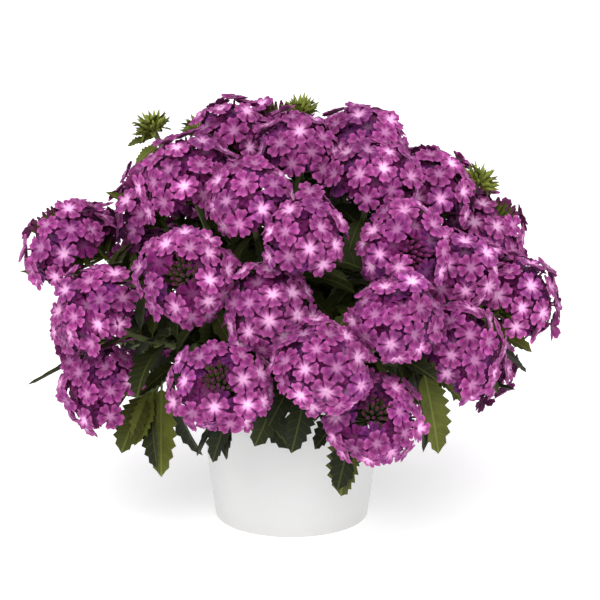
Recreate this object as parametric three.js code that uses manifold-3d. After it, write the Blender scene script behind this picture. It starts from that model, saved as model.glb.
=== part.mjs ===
// A potted garden verbena in full flower: a white nursery pot, its filled soil, square-sided leafy
// stems that stand in the soil and fork below the flowers, and a mound of domed flower heads.
// Millimetres, +Z up, the origin at the middle of the pot's underside, -Y towards the viewer.
import * as THREE from 'three';
import { mergeVertices } from 'three/addons/utils/BufferGeometryUtils.js';
import Module from 'manifold-3d';

const wasm = await Module();
wasm.setup();

// Pot and soil
const POT = {
  height: 96, // a 12 cm nursery pot
  baseRadius: 46.5,
  rimRadius: 60.5,
  collarHeight: 15, // the thicker band under the rim
  collarStep: 1.6,
  bevel: 0.8,
  wall: 1.6,
  floor: 2.2,
  chamfer: 2,
  sides: 28,
};
const DRAIN = { count: 6, ringRadius: 33, radius: 4, sides: 6 };
const SOIL = { top: 85, crown: 3.2, shoulder: 0.6, shoulderRadius: 38, gap: 0.32 };

// The mound that the flower heads stand on, an ellipsoid round a point over the pot
const MOUND = { centreZ: 112, radiusX: 137, radiusY: 128, radiusZ: 128 };
const HEADS_FACE_FROM = new THREE.Vector3(0, 0, 40); // every head looks away from this point
const HEAD_SPACING = 0.97; // least distance between two heads, as a share of their mean width
const SETTLE_ROUNDS = 30;

// Flower heads: side is the angle round the pot, 0 to the viewer and 90 to the right; lift is the
// angle above the mound's middle; reach is the distance out, 1 on the mound; width is across.
const HEADS = [
  { side: -127, lift: 76, reach: 0.98, width: 48 },
  { side: 8, lift: 75, reach: 0.97, width: 48 },
  { side: 87, lift: 69, reach: 0.96, width: 50 },
  { side: -56, lift: 57, reach: 0.97, width: 54 },
  { side: -92, lift: 46, reach: 0.87, width: 48 },
  { side: -82, lift: 26, reach: 1.08, width: 53 },
  { side: -16, lift: 52, reach: 0.98, width: 50 },
  { side: -30, lift: 29, reach: 0.97, width: 54 },
  { side: -61, lift: 14, reach: 0.97, width: 51 },
  { side: -67, lift: -9, reach: 0.88, width: 54 },
  { side: -17, lift: 1, reach: 0.97, width: 54 },
  { side: 3, lift: 37, reach: 1.06, width: 48 },
  { side: -3, lift: 22, reach: 0.84, width: 52 },
  { side: 7, lift: 9, reach: 1.07, width: 52 },
  { side: 20, lift: -7, reach: 0.96, width: 54 },
  { side: 49, lift: 58, reach: 0.96, width: 51 },
  { side: 79, lift: 51, reach: 0.95, width: 48 },
  { side: 38, lift: 36, reach: 0.98, width: 54 },
  { side: 92, lift: 27, reach: 0.98, width: 49 },
  { side: 25, lift: 19, reach: 1.08, width: 50 },
  { side: 47, lift: 7, reach: 0.97, width: 52 },
  { side: 80, lift: 18, reach: 1.03, width: 52 },
  { side: 62, lift: 25, reach: 0.92, width: 48 },
  { side: 102, lift: 6, reach: 0.94, width: 52 },
  { side: 108, lift: 0, reach: 0.91, width: 50 },
  { side: 123, lift: 49, reach: 0.93, width: 54 },
  { side: 118, lift: 20, reach: 1.04, width: 54 },
  { side: 128, lift: -4, reach: 0.96, width: 52 },
  { side: 142, lift: 60, reach: 0.96, width: 52 },
  { side: 142, lift: 33, reach: 0.94, width: 54 },
  { side: 144, lift: 10, reach: 1.02, width: 54 },
  { side: 172, lift: 43, reach: 1.02, width: 54 },
  { side: 170, lift: 19, reach: 0.98, width: 54 },
  { side: 164, lift: -6, reach: 0.94, width: 52 },
  { side: 190, lift: 68, reach: 0.93, width: 52 },
  { side: 202, lift: 28, reach: 1.04, width: 54 },
  { side: 196, lift: 3, reach: 1.0, width: 54 },
  { side: 206, lift: 48, reach: 0.93, width: 50 },
  { side: 226, lift: 43, reach: 0.94, width: 54 },
  { side: 224, lift: 13, reach: 0.96, width: 54 },
  { side: 222, lift: -9, reach: 0.98, width: 50 },
  { side: 250, lift: 22, reach: 1.04, width: 52 },
  { side: 250, lift: -2, reach: 0.96, width: 52 },
];

// Shoots still in bud, green tufts that stand a little above the flowers
const TUFTS = [
  { side: -106, lift: 57, reach: 1.17, width: 20 },
  { side: 165, lift: 82, reach: 1.08, width: 18 },
  { side: 90, lift: 42, reach: 1.12, width: 19 },
  { side: 226, lift: 58, reach: 1.1, width: 18 },
];

// A head's florets stand on a twenty-sided core; heights and radii are shares of the head's radius
const FLORET = {
  spreadDown: 1.13, // how far the outer florets lean below an even spread
  lobes: 5,
  cleft: 0.6, // radius of the notch between two lobes, as a share of the lobe tips' radius
  tipHeight: 0.885,
  cleftHeight: 0.93,
  throatHeight: 0.86,
  halfAngle: 21.6, // degrees that one floret covers on each side
  lowestFace: 78, // faces of the core further from the pole than this carry no floret
  tipReach: 0.975, // distance of a lobe's tip from the middle of the head
};
const CORE = { radius: 0.44, seatDrop: 0.62, seatRadius: 2.6, underside: -0.7 };
const BUDS = { core: 3.2, lowest: -0.1, shortest: 0.42, longest: 0.6, rise: 0.15 };

// Main stems: each rises from its own hole in the soil and forks towards the heads nearest to it
const TRUNKS = [
  { side: -60, lift: 8, root: 36 },
  { side: -14, lift: 8, root: 36 },
  { side: 29, lift: 6, root: 36 },
  { side: 72, lift: 10, root: 36 },
  { side: 118, lift: 12, root: 36 },
  { side: 160, lift: 12, root: 36 },
  { side: 208, lift: 12, root: 36 },
  { side: 256, lift: 12, root: 36 },
  { side: -72, lift: 48, root: 17 },
  { side: -14, lift: 48, root: 17 },
  { side: 44, lift: 48, root: 17 },
  { side: 97, lift: 46, root: 17 },
  { side: 163, lift: 54, root: 17 },
  { side: 225, lift: 52, root: 17 },
];
const STEM = {
  footRadius: 2.8,
  trunkRadius: 2.5,
  branchRadius: 1.8,
  nodeRadius: 3.6, // the swelling where the branches leave the trunk
  depth: 24,
  forkDistance: 66,
  forkZ: 104,
  rise: 0.45, // how far a trunk goes straight up, as a share of its span
  runOut: 0.3, // how far it goes straight out to the fork
  bow: 0.35, // the same for both ends of a branch
  squareOff: 0.8, // how strongly a branch starts square to its face of the swelling
  aboveSoil: 3,
  trunkRing: 0.35, // share of a trunk's length where its foot has become the thinner stem
  branchRing: 0.1, // share of a branch's length where its first square ring stands
};
const SEAT_GAP = 0.3; // between the end of a branch and the head that sits on it

// Leaves: length, half-width as a share of it, and the arc and the fold of the blade
const LEAF = { length: 47, spread: 0.19, arch: 0.75, fold: 0.32, thickness: 1.5, scar: 4.4 };
const OUTLINE = [[0.34, 0.95], [0.41, 0.62], [0.63, 0.88], [0.69, 0.5]]; // share of length, of half-width
const MIDRIB = [0.15, 0.52]; // shares of the length where the midrib has a point
const VARY = { length: 0.3, droop: 0.6 };
const FACING = { stem: 0.6, sky: 0.8 }; // what a blade's upper side looks towards

// Where pairs and threes of leaves grow: share of the stem's length, the faces of the stem (0 and 180
// to the sides, 90 above, 270 below), how far they droop, and the highest lift that still has them
const WHORLS = [
  { stem: 'trunk', share: 0.9, faces: [270, 180, 0], droop: 1.5, highest: 20 },
  { stem: 'branch', share: 0.66, faces: [270, 90], droop: 1.0, highest: 90 },
  { stem: 'branch', share: 0.34, faces: [180, 0], droop: 1.0, highest: 60 },
];

// Leaves that hang over the pot or out at the side: the head whose branch they grow on, the whorl,
// the face, and the place of their tip
const HANGING = [
  { head: 10, whorl: 1, face: 270, tip: [-84, -60, 48] },
  { head: 11, whorl: 1, face: 270, tip: [-50, -88, 60] },
  { head: 15, whorl: 1, face: 270, tip: [26, -98, 46] },
  { head: 21, whorl: 1, face: 270, tip: [84, -72, 62] },
  { head: 22, whorl: 1, face: 270, tip: [146, -8, 98] },
];
const LEAF_CLEAR = { head: 2.0, stem: 5.3, leaf: 8.0, pot: 3.0, floor: 6.0, near: 12, reach: 1.15 };
const STEM_STEPS = 20; // points along a stem that leaves keep clear of
const LEAST_RISE = 0.42; // least cosine between a leaf and the outward direction of its face
const HANGING_DROOP = 0.4;
const TURNS = [0, 24, -24, 48, -48]; // degrees round the stem that a leaf may turn to find room
const LEANS = [22, 42, 4, 60, -16]; // degrees towards the stem's tip that it may lean
const SAMPLES = [[0.14, 0.4], [0.27, 0.8], [0.4, 1], [0.55, 0.9], [0.7, 0.8], [0.85, 0.4], [1, 0]];

// First number of each run of repeatable random numbers
const SEEDS = { leaves: 7, heads: 101, tufts: 301 };

const COLOURS = { pot: 0xf1f1ef, soil: 0x3a2a20, green: 0x3f5a22, petals: 0x9a3c8a };

const rad = THREE.MathUtils.degToRad;
const v3 = (x, y, z) => new THREE.Vector3(x, y, z);

// Repeatable random numbers from 0 to 1
function makeRandom(seed) {
  let state = seed >>> 0;
  return () => {
    state = (Math.imul(state, 1664525) + 1013904223) >>> 0;
    return state / 4294967296;
  };
}

// Unit vector at an angle round the pot and an angle above the horizontal
function direction(side, lift) {
  const flat = Math.cos(rad(lift));
  return v3(flat * Math.sin(rad(side)), -flat * Math.cos(rad(side)), Math.sin(rad(lift)));
}

function solidOf(geometry) {
  const bare = geometry.clone();
  bare.deleteAttribute('normal');
  bare.deleteAttribute('uv');
  bare.clearGroups();
  const merged = mergeVertices(bare, 1e-4);
  return new wasm.Manifold(new wasm.Mesh({
    numProp: 3,
    vertProperties: new Float32Array(merged.attributes.position.array),
    triVerts: new Uint32Array(merged.index.array),
  }));
}

function geometryOf(solid) {
  const mesh = solid.getMesh();
  const geometry = new THREE.BufferGeometry();
  geometry.setAttribute('position', new THREE.BufferAttribute(new Float32Array(mesh.vertProperties), 3));
  geometry.setIndex([...mesh.triVerts]);
  return faceted(geometry);
}

// The same mesh with flat faces
function faceted(geometry) {
  const flat = geometry.toNonIndexed();
  flat.computeVertexNormals();
  return flat;
}

// A closed mesh from a list of points and the triangles between them
function meshGeometry(points, triangles) {
  const geometry = new THREE.BufferGeometry().setFromPoints(points);
  geometry.setIndex(triangles.flat());
  return geometry;
}

// How far out a point lies, 1 on the mound itself
function moundReach(p) {
  return Math.hypot(p.x / MOUND.radiusX, p.y / MOUND.radiusY, (p.z - MOUND.centreZ) / MOUND.radiusZ);
}

// Heads and tufts slide round the mound, each at its own reach, until they stand well apart; those
// that still crowd each other end a little narrower.
function settleHeads() {
  const all = [...HEADS, ...TUFTS].map(({ side, lift, reach, width }) => {
    const out = direction(side, lift).multiply(v3(MOUND.radiusX, MOUND.radiusY, MOUND.radiusZ));
    return { width, lift, reach, centre: out.multiplyScalar(reach).add(v3(0, 0, MOUND.centreZ)) };
  });
  const pairs = all.flatMap((a, i) => all.slice(i + 1).map((b) => [a, b]));
  for (let round = 0; round < SETTLE_ROUNDS; round++) {
    for (const [a, b] of pairs) {
      const apart = b.centre.clone().sub(a.centre);
      const missing = 0.5 * HEAD_SPACING * (a.width + b.width) - apart.length();
      if (missing > 0) {
        apart.setLength(0.5 * missing);
        b.centre.add(apart);
        a.centre.sub(apart);
      }
    }
    for (const head of all) {
      const pull = head.reach / moundReach(head.centre);
      head.centre.multiplyScalar(pull).z += (1 - pull) * MOUND.centreZ;
    }
  }
  for (const [a, b] of pairs) {
    const room = a.centre.distanceTo(b.centre) / (0.5 * HEAD_SPACING * (a.width + b.width));
    if (room < 1) {
      a.width *= room;
      b.width *= room;
    }
  }
  for (const head of all) {
    head.axis = head.centre.clone().sub(HEADS_FACE_FROM).normalize();
  }
  return all;
}

// Two unit vectors square to a given one
function crossFrame(axis) {
  const helper = Math.abs(axis.z) < 0.9 ? v3(0, 0, 1) : v3(1, 0, 0);
  const u = helper.cross(axis).normalize();
  return [u, axis.clone().cross(u)];
}

// An icosahedron with one face square to +Z: its points and its faces as triples of indices
function standingIcosahedron() {
  const shape = new THREE.IcosahedronGeometry(1, 0);
  shape.deleteAttribute('normal');
  shape.deleteAttribute('uv');
  const merged = mergeVertices(shape, 1e-4);
  const points = [];
  for (let i = 0; i < merged.attributes.position.count; i++) {
    points.push(v3().fromBufferAttribute(merged.attributes.position, i));
  }
  const faces = [];
  for (let i = 0; i < merged.index.count; i += 3) {
    faces.push([0, 1, 2].map((k) => merged.index.getX(i + k)));
  }
  const middle = faces[0].reduce((sum, k) => sum.add(points[k]), v3(0, 0, 0)).normalize();
  const turn = new THREE.Quaternion().setFromUnitVectors(middle, v3(0, 0, 1));
  points.forEach((p) => p.applyQuaternion(turn));
  const normals = faces.map((face) => face.reduce((sum, k) => sum.add(points[k]), v3(0, 0, 0)).normalize());
  return { points, faces, normals };
}

const ICOSAHEDRON = standingIcosahedron();
const headRadius = (width) => (0.5 * width) / FLORET.tipReach;

// A flower head round the origin, facing +Z: an icosahedral core whose upper faces each rise into a
// trumpet with a five-lobed rim and a dished top. Its seat is the small triangle at the bottom.
function headGeometry(width, random) {
  const radius = headRadius(width);
  const points = ICOSAHEDRON.points.map((p) => {
    if (p.z > CORE.underside) return p.clone().multiplyScalar(CORE.radius * radius);
    const flat = Math.hypot(p.x, p.y);
    return v3((p.x * CORE.seatRadius) / flat, (p.y * CORE.seatRadius) / flat, -CORE.seatDrop * radius);
  });
  const triangles = [];
  ICOSAHEDRON.faces.forEach((face, k) => {
    const middle = ICOSAHEDRON.normals[k];
    const polar = THREE.MathUtils.radToDeg(Math.acos(THREE.MathUtils.clamp(middle.z, -1, 1)));
    if (polar > FLORET.lowestFace) {
      triangles.push(face);
      return;
    }
    const leaned = rad(polar * FLORET.spreadDown);
    const round = Math.atan2(middle.y, middle.x);
    const out = v3(Math.sin(leaned) * Math.cos(round), Math.sin(leaned) * Math.sin(round), Math.cos(leaned));
    addFloret(points, triangles, face, out, radius, random() * 2 * Math.PI);
  });
  return meshGeometry(points, triangles);
}

// One floret: a star-shaped rim round its direction, a fan of faces down to the throat, and a
// trumpet from the rim to the core's face, joined in order of angle.
function addFloret(points, triangles, face, out, radius, spin) {
  const [u, v] = crossFrame(out);
  const tipRadius = FLORET.tipHeight * radius * Math.tan(rad(FLORET.halfAngle));
  const count = 2 * FLORET.lobes;
  const rim = [];
  for (let j = 0; j < count; j++) {
    const angle = spin + (Math.PI * j) / FLORET.lobes;
    const tip = j % 2 === 0;
    const across = tip ? tipRadius : FLORET.cleft * tipRadius;
    const height = (tip ? FLORET.tipHeight : FLORET.cleftHeight) * radius;
    rim.push({ index: points.length, angle: angle % (2 * Math.PI) });
    points.push(out.clone().multiplyScalar(height)
      .addScaledVector(u, across * Math.cos(angle))
      .addScaledVector(v, across * Math.sin(angle)));
  }
  const throat = points.length;
  points.push(out.clone().multiplyScalar(FLORET.throatHeight * radius));
  for (let j = 0; j < count; j++) {
    triangles.push([rim[j].index, rim[(j + 1) % count].index, throat]);
  }
  const foot = face.map((k) => {
    const angle = Math.atan2(points[k].dot(v), points[k].dot(u));
    return { index: k, angle: (angle + 2 * Math.PI) % (2 * Math.PI) };
  });
  joinRings(triangles, sortedByAngle(foot), sortedByAngle(rim));
}

function sortedByAngle(ring) {
  return [...ring].sort((a, b) => a.angle - b.angle);
}

// Triangles between an inner lower ring and an outer upper ring, both in order of angle
function joinRings(triangles, lower, upper) {
  const at = (ring, k) => ring[k % ring.length].angle + 2 * Math.PI * Math.floor(k / ring.length);
  let i = 0;
  let j = 0;
  while (i < lower.length || j < upper.length) {
    const a = lower[i % lower.length].index;
    const b = upper[j % upper.length].index;
    const stepLower = j >= upper.length || (i < lower.length && at(lower, i + 1) < at(upper, j + 1));
    if (stepLower) {
      i++;
      triangles.push([a, lower[i % lower.length].index, b]);
    } else {
      j++;
      triangles.push([a, upper[j % upper.length].index, b]);
    }
  }
}

// A stem's centre line with a steady sideways direction, so that its four faces don't twist
function makeStem(curve, aside) {
  const frameAt = (share) => {
    const tangent = curve.getTangent(share);
    const u = aside.clone().addScaledVector(tangent, -aside.dot(tangent)).normalize();
    return { point: curve.getPoint(share), tangent, u, v: tangent.clone().cross(u) };
  };
  return { curve, frameAt, leaves: [] };
}

const sideways = (axis) => v3(0, 0, 1).cross(axis).normalize();

// Where a trunk stands, where it forks, and the stem between
function makeTrunk({ side, lift, root }) {
  const foot = direction(side, 0).multiplyScalar(root);
  const ground = foot.clone().setZ(SOIL.top + SOIL.crown + STEM.aboveSoil);
  const out = direction(side, lift);
  const fork = out.clone().multiplyScalar(STEM.forkDistance).add(v3(0, 0, STEM.forkZ));
  const span = fork.distanceTo(ground);
  const curve = new THREE.CubicBezierCurve3(
    ground,
    ground.clone().add(v3(0, 0, STEM.rise * span)),
    fork.clone().addScaledVector(out, -STEM.runOut * span),
    fork.clone().addScaledVector(out, -STEM.nodeRadius),
  );
  const turn = new THREE.Quaternion().setFromUnitVectors(v3(0, 0, 1), out.clone().negate());
  const normals = ICOSAHEDRON.normals.map((normal) => normal.clone().applyQuaternion(turn));
  return { ...makeStem(curve, sideways(out)), foot, fork, out, lift, turn, normals, heads: [], branches: [] };
}

// The stem from a face of the fork's swelling to the seat of a head, or to the heart of a tuft
function makeBranch(trunk, head, face) {
  const normal = trunk.normals[face];
  const start = trunk.fork.clone().addScaledVector(normal, STEM.nodeRadius);
  const span = start.distanceTo(head.seat);
  const away = head.seat.clone().sub(start).normalize().addScaledVector(normal, STEM.squareOff).normalize();
  const curve = new THREE.CubicBezierCurve3(
    start,
    start.clone().addScaledVector(away, STEM.bow * span),
    head.seat.clone().addScaledVector(head.axis, -STEM.bow * span),
    head.seat,
  );
  return { ...makeStem(curve, sideways(head.axis)), head, face, lift: head.lift };
}

// Each head grows on the trunk whose direction is nearest to its own, out of the free face of the
// fork that looks at it best; the first face is the trunk's own
function growStems(heads) {
  const trunks = TRUNKS.map(makeTrunk);
  for (const head of heads) {
    const drop = head.tuft ? BUDS.core : CORE.seatDrop * headRadius(head.width) + SEAT_GAP;
    head.seat = head.centre.clone().addScaledVector(head.axis, -drop);
    const away = head.centre.clone().sub(v3(0, 0, STEM.forkZ)).normalize();
    trunks.reduce((best, t) => (t.out.dot(away) > best.out.dot(away) ? t : best)).heads.push(head);
  }
  for (const trunk of trunks) {
    const waiting = new Set(trunk.heads);
    const free = new Set(trunk.normals.keys());
    free.delete(0);
    while (waiting.size) {
      const best = { match: -2 };
      for (const head of waiting) {
        const away = head.seat.clone().sub(trunk.fork).normalize();
        for (const face of free) {
          const match = trunk.normals[face].dot(away);
          if (match > best.match) Object.assign(best, { match, head, face });
        }
      }
      waiting.delete(best.head);
      free.delete(best.face);
      trunk.branches.push(makeBranch(trunk, best.head, best.face));
    }
  }
  return trunks;
}

// A leaf's midrib is an arc from its root: a point and an upward normal at a share of its length
function midribAt(leaf, share) {
  const bend = LEAF.arch * leaf.droop;
  const turn = bend * share;
  const along = (leaf.length * Math.sin(turn)) / bend;
  const down = (leaf.length * (1 - Math.cos(turn))) / bend;
  const point = leaf.root.clone().addScaledVector(leaf.along, along).addScaledVector(leaf.up, -down);
  const up = leaf.up.clone().multiplyScalar(Math.cos(turn)).addScaledVector(leaf.along, Math.sin(turn));
  return { point, up };
}

// A point of the blade: across is a share of the leaf's half-width, and the fold raises the edges
function bladePoint(leaf, share, across) {
  const { point, up } = midribAt(leaf, share);
  const out = across * LEAF.spread * leaf.length;
  return point.addScaledVector(leaf.aside, out).addScaledVector(up, LEAF.fold * Math.abs(out));
}

function makeLeaf(root, along, tangent, length, droop) {
  const up = tangent.clone().multiplyScalar(FACING.stem).add(v3(0, 0, FACING.sky));
  up.addScaledVector(along, -up.dot(along)).normalize();
  const leaf = { root, along, up, aside: along.clone().cross(up), length, droop };
  leaf.samples = SAMPLES.flatMap(([share, width]) => (
    [-width, 0, width].map((across) => bladePoint(leaf, share, across))
  ));
  return leaf;
}

// Whether a leaf keeps clear of the heads, the stems, the pot, the ground and the leaves before it
function isClear(leaf, stem, heads, stemPoints, leaves) {
  const ownNear = (q) => q.stem === stem && q.point.distanceTo(leaf.root) < LEAF_CLEAR.near;
  return leaf.samples.every((p) => {
    const beside = Math.hypot(p.x, p.y) > POT.rimRadius + LEAF_CLEAR.pot;
    return (beside || p.z > POT.height + LEAF_CLEAR.pot)
      && moundReach(p) < LEAF_CLEAR.reach
      && p.z > LEAF_CLEAR.floor
      && heads.every((h) => p.distanceTo(h.centre) > 0.5 * h.width + LEAF_CLEAR.head)
      && stemPoints.every((q) => ownNear(q) || p.distanceTo(q.point) > LEAF_CLEAR.stem)
      && leaves.every((other) => other.samples.every((q) => p.distanceTo(q) > LEAF_CLEAR.leaf));
  });
}

// A leaf's root on a face of its stem
function leafSite(stem, share, face) {
  const { point, tangent, u, v } = stem.frameAt(share);
  const normal = u.clone().multiplyScalar(Math.cos(rad(face))).addScaledVector(v, Math.sin(rad(face)));
  const radius = stem.branches ? STEM.trunkRadius : STEM.branchRadius;
  return { tangent, normal, root: point.addScaledVector(normal, radius * Math.SQRT1_2) };
}

// Leaves on every stem, each turned and tilted until it is clear of its surroundings, or left out
function growLeaves(trunks, heads) {
  const random = makeRandom(SEEDS.leaves);
  const branches = trunks.flatMap((trunk) => trunk.branches);
  const stemPoints = [...trunks, ...branches].flatMap((stem) => (
    Array.from({ length: STEM_STEPS + 1 }, (_, k) => (
      { stem, point: stem.curve.getPoint(k / STEM_STEPS) }
    ))
  ));
  const leaves = [];
  const tryLeaves = (stem, whorl, face, candidates) => {
    const leaf = candidates.find((candidate) => isClear(candidate, stem, heads, stemPoints, leaves));
    if (!leaf) return;
    leaves.push(leaf);
    stem.leaves.push({ leaf, whorl, face });
  };
  for (const { head, whorl, face, tip } of HANGING) {
    const stem = branches.find((branch) => branch.head === heads[head - 1]);
    const { tangent, root } = leafSite(stem, WHORLS[whorl].share, face);
    const span = v3(...tip).sub(root);
    const leaf = makeLeaf(root, span.clone().normalize(), tangent, span.length(), HANGING_DROOP);
    tryLeaves(stem, whorl, face, [leaf]);
  }
  WHORLS.forEach(({ stem: kind, share, faces, droop, highest }, whorl) => {
    const stems = kind === 'trunk' ? trunks : branches;
    for (const stem of stems.filter(({ lift }) => lift <= highest)) {
      for (const face of faces) {
        const length = LEAF.length * (1 + VARY.length * (random() - 0.5));
        const leafDroop = droop * (1 + VARY.droop * (random() - 0.5));
        if (stem.leaves.some((grown) => grown.whorl === whorl && grown.face === face)) continue;
        const { tangent, normal, root } = leafSite(stem, share, face);
        const across = tangent.clone().cross(normal);
        const ways = LEANS.flatMap((lean) => TURNS.map((turn) => (
          normal.clone().multiplyScalar(Math.cos(rad(turn)))
            .addScaledVector(across, Math.sin(rad(turn)))
            .multiplyScalar(Math.cos(rad(lean)))
            .addScaledVector(tangent, Math.sin(rad(lean)))
        ))).filter((along) => along.dot(normal) > LEAST_RISE);
        tryLeaves(stem, whorl, face, ways.map((along) => makeLeaf(root, along, tangent, length, leafDroop)));
      }
    }
  });
}

// Points and triangles of one leafy stem, grown ring by ring from its foot
class Skin {
  points = [];

  triangles = [];

  add(point) {
    return this.points.push(point) - 1;
  }

  middle(ring) {
    return ring.reduce((sum, index) => sum.add(this.points[index]), v3(0, 0, 0)).divideScalar(ring.length);
  }

  // Triangles between two rings of any number of corners, matched by their angles round an axis
  join(lower, upper, axis, hub = this.middle(upper)) {
    const [u, v] = crossFrame(axis.clone().normalize());
    const byAngle = (ring, centre) => {
      return sortedByAngle(ring.map((index) => {
        const arm = this.points[index].clone().sub(centre);
        return { index, angle: (Math.atan2(arm.dot(v), arm.dot(u)) + 2 * Math.PI) % (2 * Math.PI) };
      }));
    };
    joinRings(this.triangles, byAngle(lower, this.middle(lower)), byAngle(upper, hub));
  }

  // The four corners of a stem, its flat faces towards the sides, above and below
  square({ point, u, v }, radius) {
    return [45, 135, 225, 315].map((angle) => this.add(point.clone()
      .addScaledVector(u, radius * Math.cos(rad(angle)))
      .addScaledVector(v, radius * Math.sin(rad(angle)))));
  }

  // Four side faces between two squares; a face that bears a leaf opens into the leaf
  sides(lower, upper, leaves = []) {
    for (let k = 0; k < 4; k++) {
      const next = (k + 1) % 4;
      const borne = leaves.find(({ face }) => face === (90 * (k + 1)) % 360);
      if (borne) {
        this.leaf([lower[k], lower[next], upper[next], upper[k]], borne.leaf);
      } else {
        this.triangles.push([lower[k], lower[next], upper[next]], [lower[k], upper[next], upper[k]]);
      }
    }
  }

  // A leaf out of a four-cornered scar: its two faces meet along the toothed edge
  leaf(scar, leaf) {
    const tip = { share: 1, index: this.add(bladePoint(leaf, 1, 0)) };
    const ribs = [1, -1].map((side) => [...MIDRIB.map((share) => {
      const { point, up } = midribAt(leaf, share);
      return { share, index: this.add(point.addScaledVector(up, 0.5 * side * LEAF.thickness)) };
    }), tip]);
    const edges = [1, -1].map((hand) => [...OUTLINE.map(([share, across]) => (
      { share, index: this.add(bladePoint(leaf, share, hand * across)) }
    )), tip]);
    const collar = [ribs[0][0], edges[0][0], ribs[1][0], edges[1][0]].map(({ index }) => index);
    this.join(scar, collar, leaf.along, midribAt(leaf, MIDRIB[0]).point);
    ribs.forEach((rib, side) => edges.forEach((edge, hand) => {
      for (const triangle of stripBetween(rib, edge)) {
        this.triangles.push(side === hand ? triangle : triangle.reverse());
      }
    }));
  }

  // The rings of a stem, with a short stretch for each whorl that bears leaves; returns the last one
  stem(stem, start, from, radius) {
    const half = (0.5 * LEAF.scar) / stem.curve.getLength();
    const borne = [...new Set(stem.leaves.map(({ whorl }) => whorl))];
    const stations = [{ share: from }, { share: 1 }];
    for (const whorl of borne) {
      const { share } = WHORLS[whorl];
      stations.push({ share: share - half }, { share: share + half, whorl });
    }
    if (borne.length < 2) {
      const to = borne.length ? WHORLS[borne[0]].share : 1;
      stations.push({ share: 0.5 * (from + to) });
    }
    stations.sort((a, b) => a.share - b.share);
    let { ring } = start;
    for (const { share, whorl } of stations) {
      const frame = stem.frameAt(share);
      const next = this.square(frame, radius);
      if (start.ring === ring && start.normal) this.join(ring, next, start.normal.clone().add(frame.tangent));
      else this.sides(ring, next, stem.leaves.filter((grown) => grown.whorl === whorl));
      ring = next;
    }
    return ring;
  }

  // The faces of a twenty-sided swelling, of which the first looks back along the stem
  swelling(centre, turn, radius) {
    const indices = ICOSAHEDRON.points.map((p) => this.add(
      p.clone().applyQuaternion(turn).multiplyScalar(radius).add(centre),
    ));
    return ICOSAHEDRON.faces.map((face) => face.map((k) => indices[k]));
  }

  // A shoot in bud: a swelling whose upper faces are drawn out into pointed buds
  tuft(ring, { centre, axis, width }, random) {
    const turn = new THREE.Quaternion().setFromUnitVectors(v3(0, 0, 1), axis.clone().negate());
    const [open, ...faces] = this.swelling(centre, turn, BUDS.core);
    this.join(ring, open, axis);
    for (const face of faces) {
      const normal = this.middle(face).sub(centre).normalize();
      if (normal.dot(axis) < BUDS.lowest) {
        this.triangles.push(face);
      } else {
        const length = width * THREE.MathUtils.lerp(BUDS.shortest, BUDS.longest, random());
        const bud = normal.addScaledVector(axis, BUDS.rise).multiplyScalar(length).add(centre);
        const point = this.add(bud);
        for (let k = 0; k < 3; k++) this.triangles.push([face[k], face[(k + 1) % 3], point]);
      }
    }
  }
}

// Triangles between two lines of points that end in the same point
function stripBetween(left, right) {
  const triangles = [];
  let i = 0;
  let j = 0;
  while (i + j < left.length + right.length - 2) {
    const rightEnded = j === right.length - 1;
    const stepLeft = rightEnded || (i < left.length - 1 && left[i + 1].share <= right[j + 1].share);
    const corners = [left[i].index, right[j].index, stepLeft ? left[i + 1].index : right[j + 1].index];
    if (new Set(corners).size === 3) triangles.push(corners);
    if (stepLeft) i++;
    else j++;
  }
  return triangles;
}

// One leafy stem: its foot, its trunk, the swelling at the fork, and the branches out of its faces
function leafyStemGeometry(trunk, random) {
  const skin = new Skin();
  const ground = trunk.frameAt(0);
  const bottom = trunk.foot.clone().setZ(SOIL.top - STEM.depth);
  const foot = skin.square({ ...ground, point: bottom }, STEM.footRadius);
  skin.triangles.push([foot[2], foot[1], foot[0]], [foot[3], foot[2], foot[0]]);
  const collar = skin.square(ground, STEM.footRadius);
  skin.sides(foot, collar);
  const top = skin.stem(trunk, { ring: collar }, STEM.trunkRing, STEM.trunkRadius);
  const faces = skin.swelling(trunk.fork, trunk.turn, STEM.nodeRadius);
  skin.join(top, faces[0], trunk.out);
  for (const branch of trunk.branches) {
    const start = { ring: faces[branch.face], normal: trunk.normals[branch.face] };
    const end = skin.stem(branch, start, STEM.branchRing, STEM.branchRadius);
    if (branch.head.tuft) skin.tuft(end, branch.head, random);
    else skin.triangles.push([end[0], end[1], end[2]], [end[0], end[2], end[3]]);
  }
  const taken = new Set([0, ...trunk.branches.map(({ face }) => face)]);
  faces.forEach((face, k) => taken.has(k) || skin.triangles.push(face));
  return meshGeometry(skin.points, skin.triangles);
}

// The hole that a foot stands in, with room all round and under it
function footHole({ foot, out }) {
  const bottom = SOIL.top - STEM.depth - SOIL.gap;
  const top = SOIL.top + STEM.depth;
  const radius = STEM.footRadius + SOIL.gap * Math.SQRT2;
  return new THREE.CylinderGeometry(radius, radius, top - bottom, 4)
    .rotateX(Math.PI / 2)
    .rotateZ(Math.atan2(out.y, out.x) + Math.PI / 4)
    .translate(foot.x, foot.y, (top + bottom) / 2);
}

const lathe = (profile) => solidOf(new THREE.LatheGeometry(
  profile.map(([x, y]) => new THREE.Vector2(x, y)),
  POT.sides,
).rotateX(Math.PI / 2));

// Radius of the pot's outer wall below the collar
function wallRadius(z) {
  const slope = (POT.rimRadius - POT.collarStep - POT.baseRadius) / (POT.height - POT.chamfer);
  return POT.baseRadius + slope * (z - POT.chamfer);
}

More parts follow.
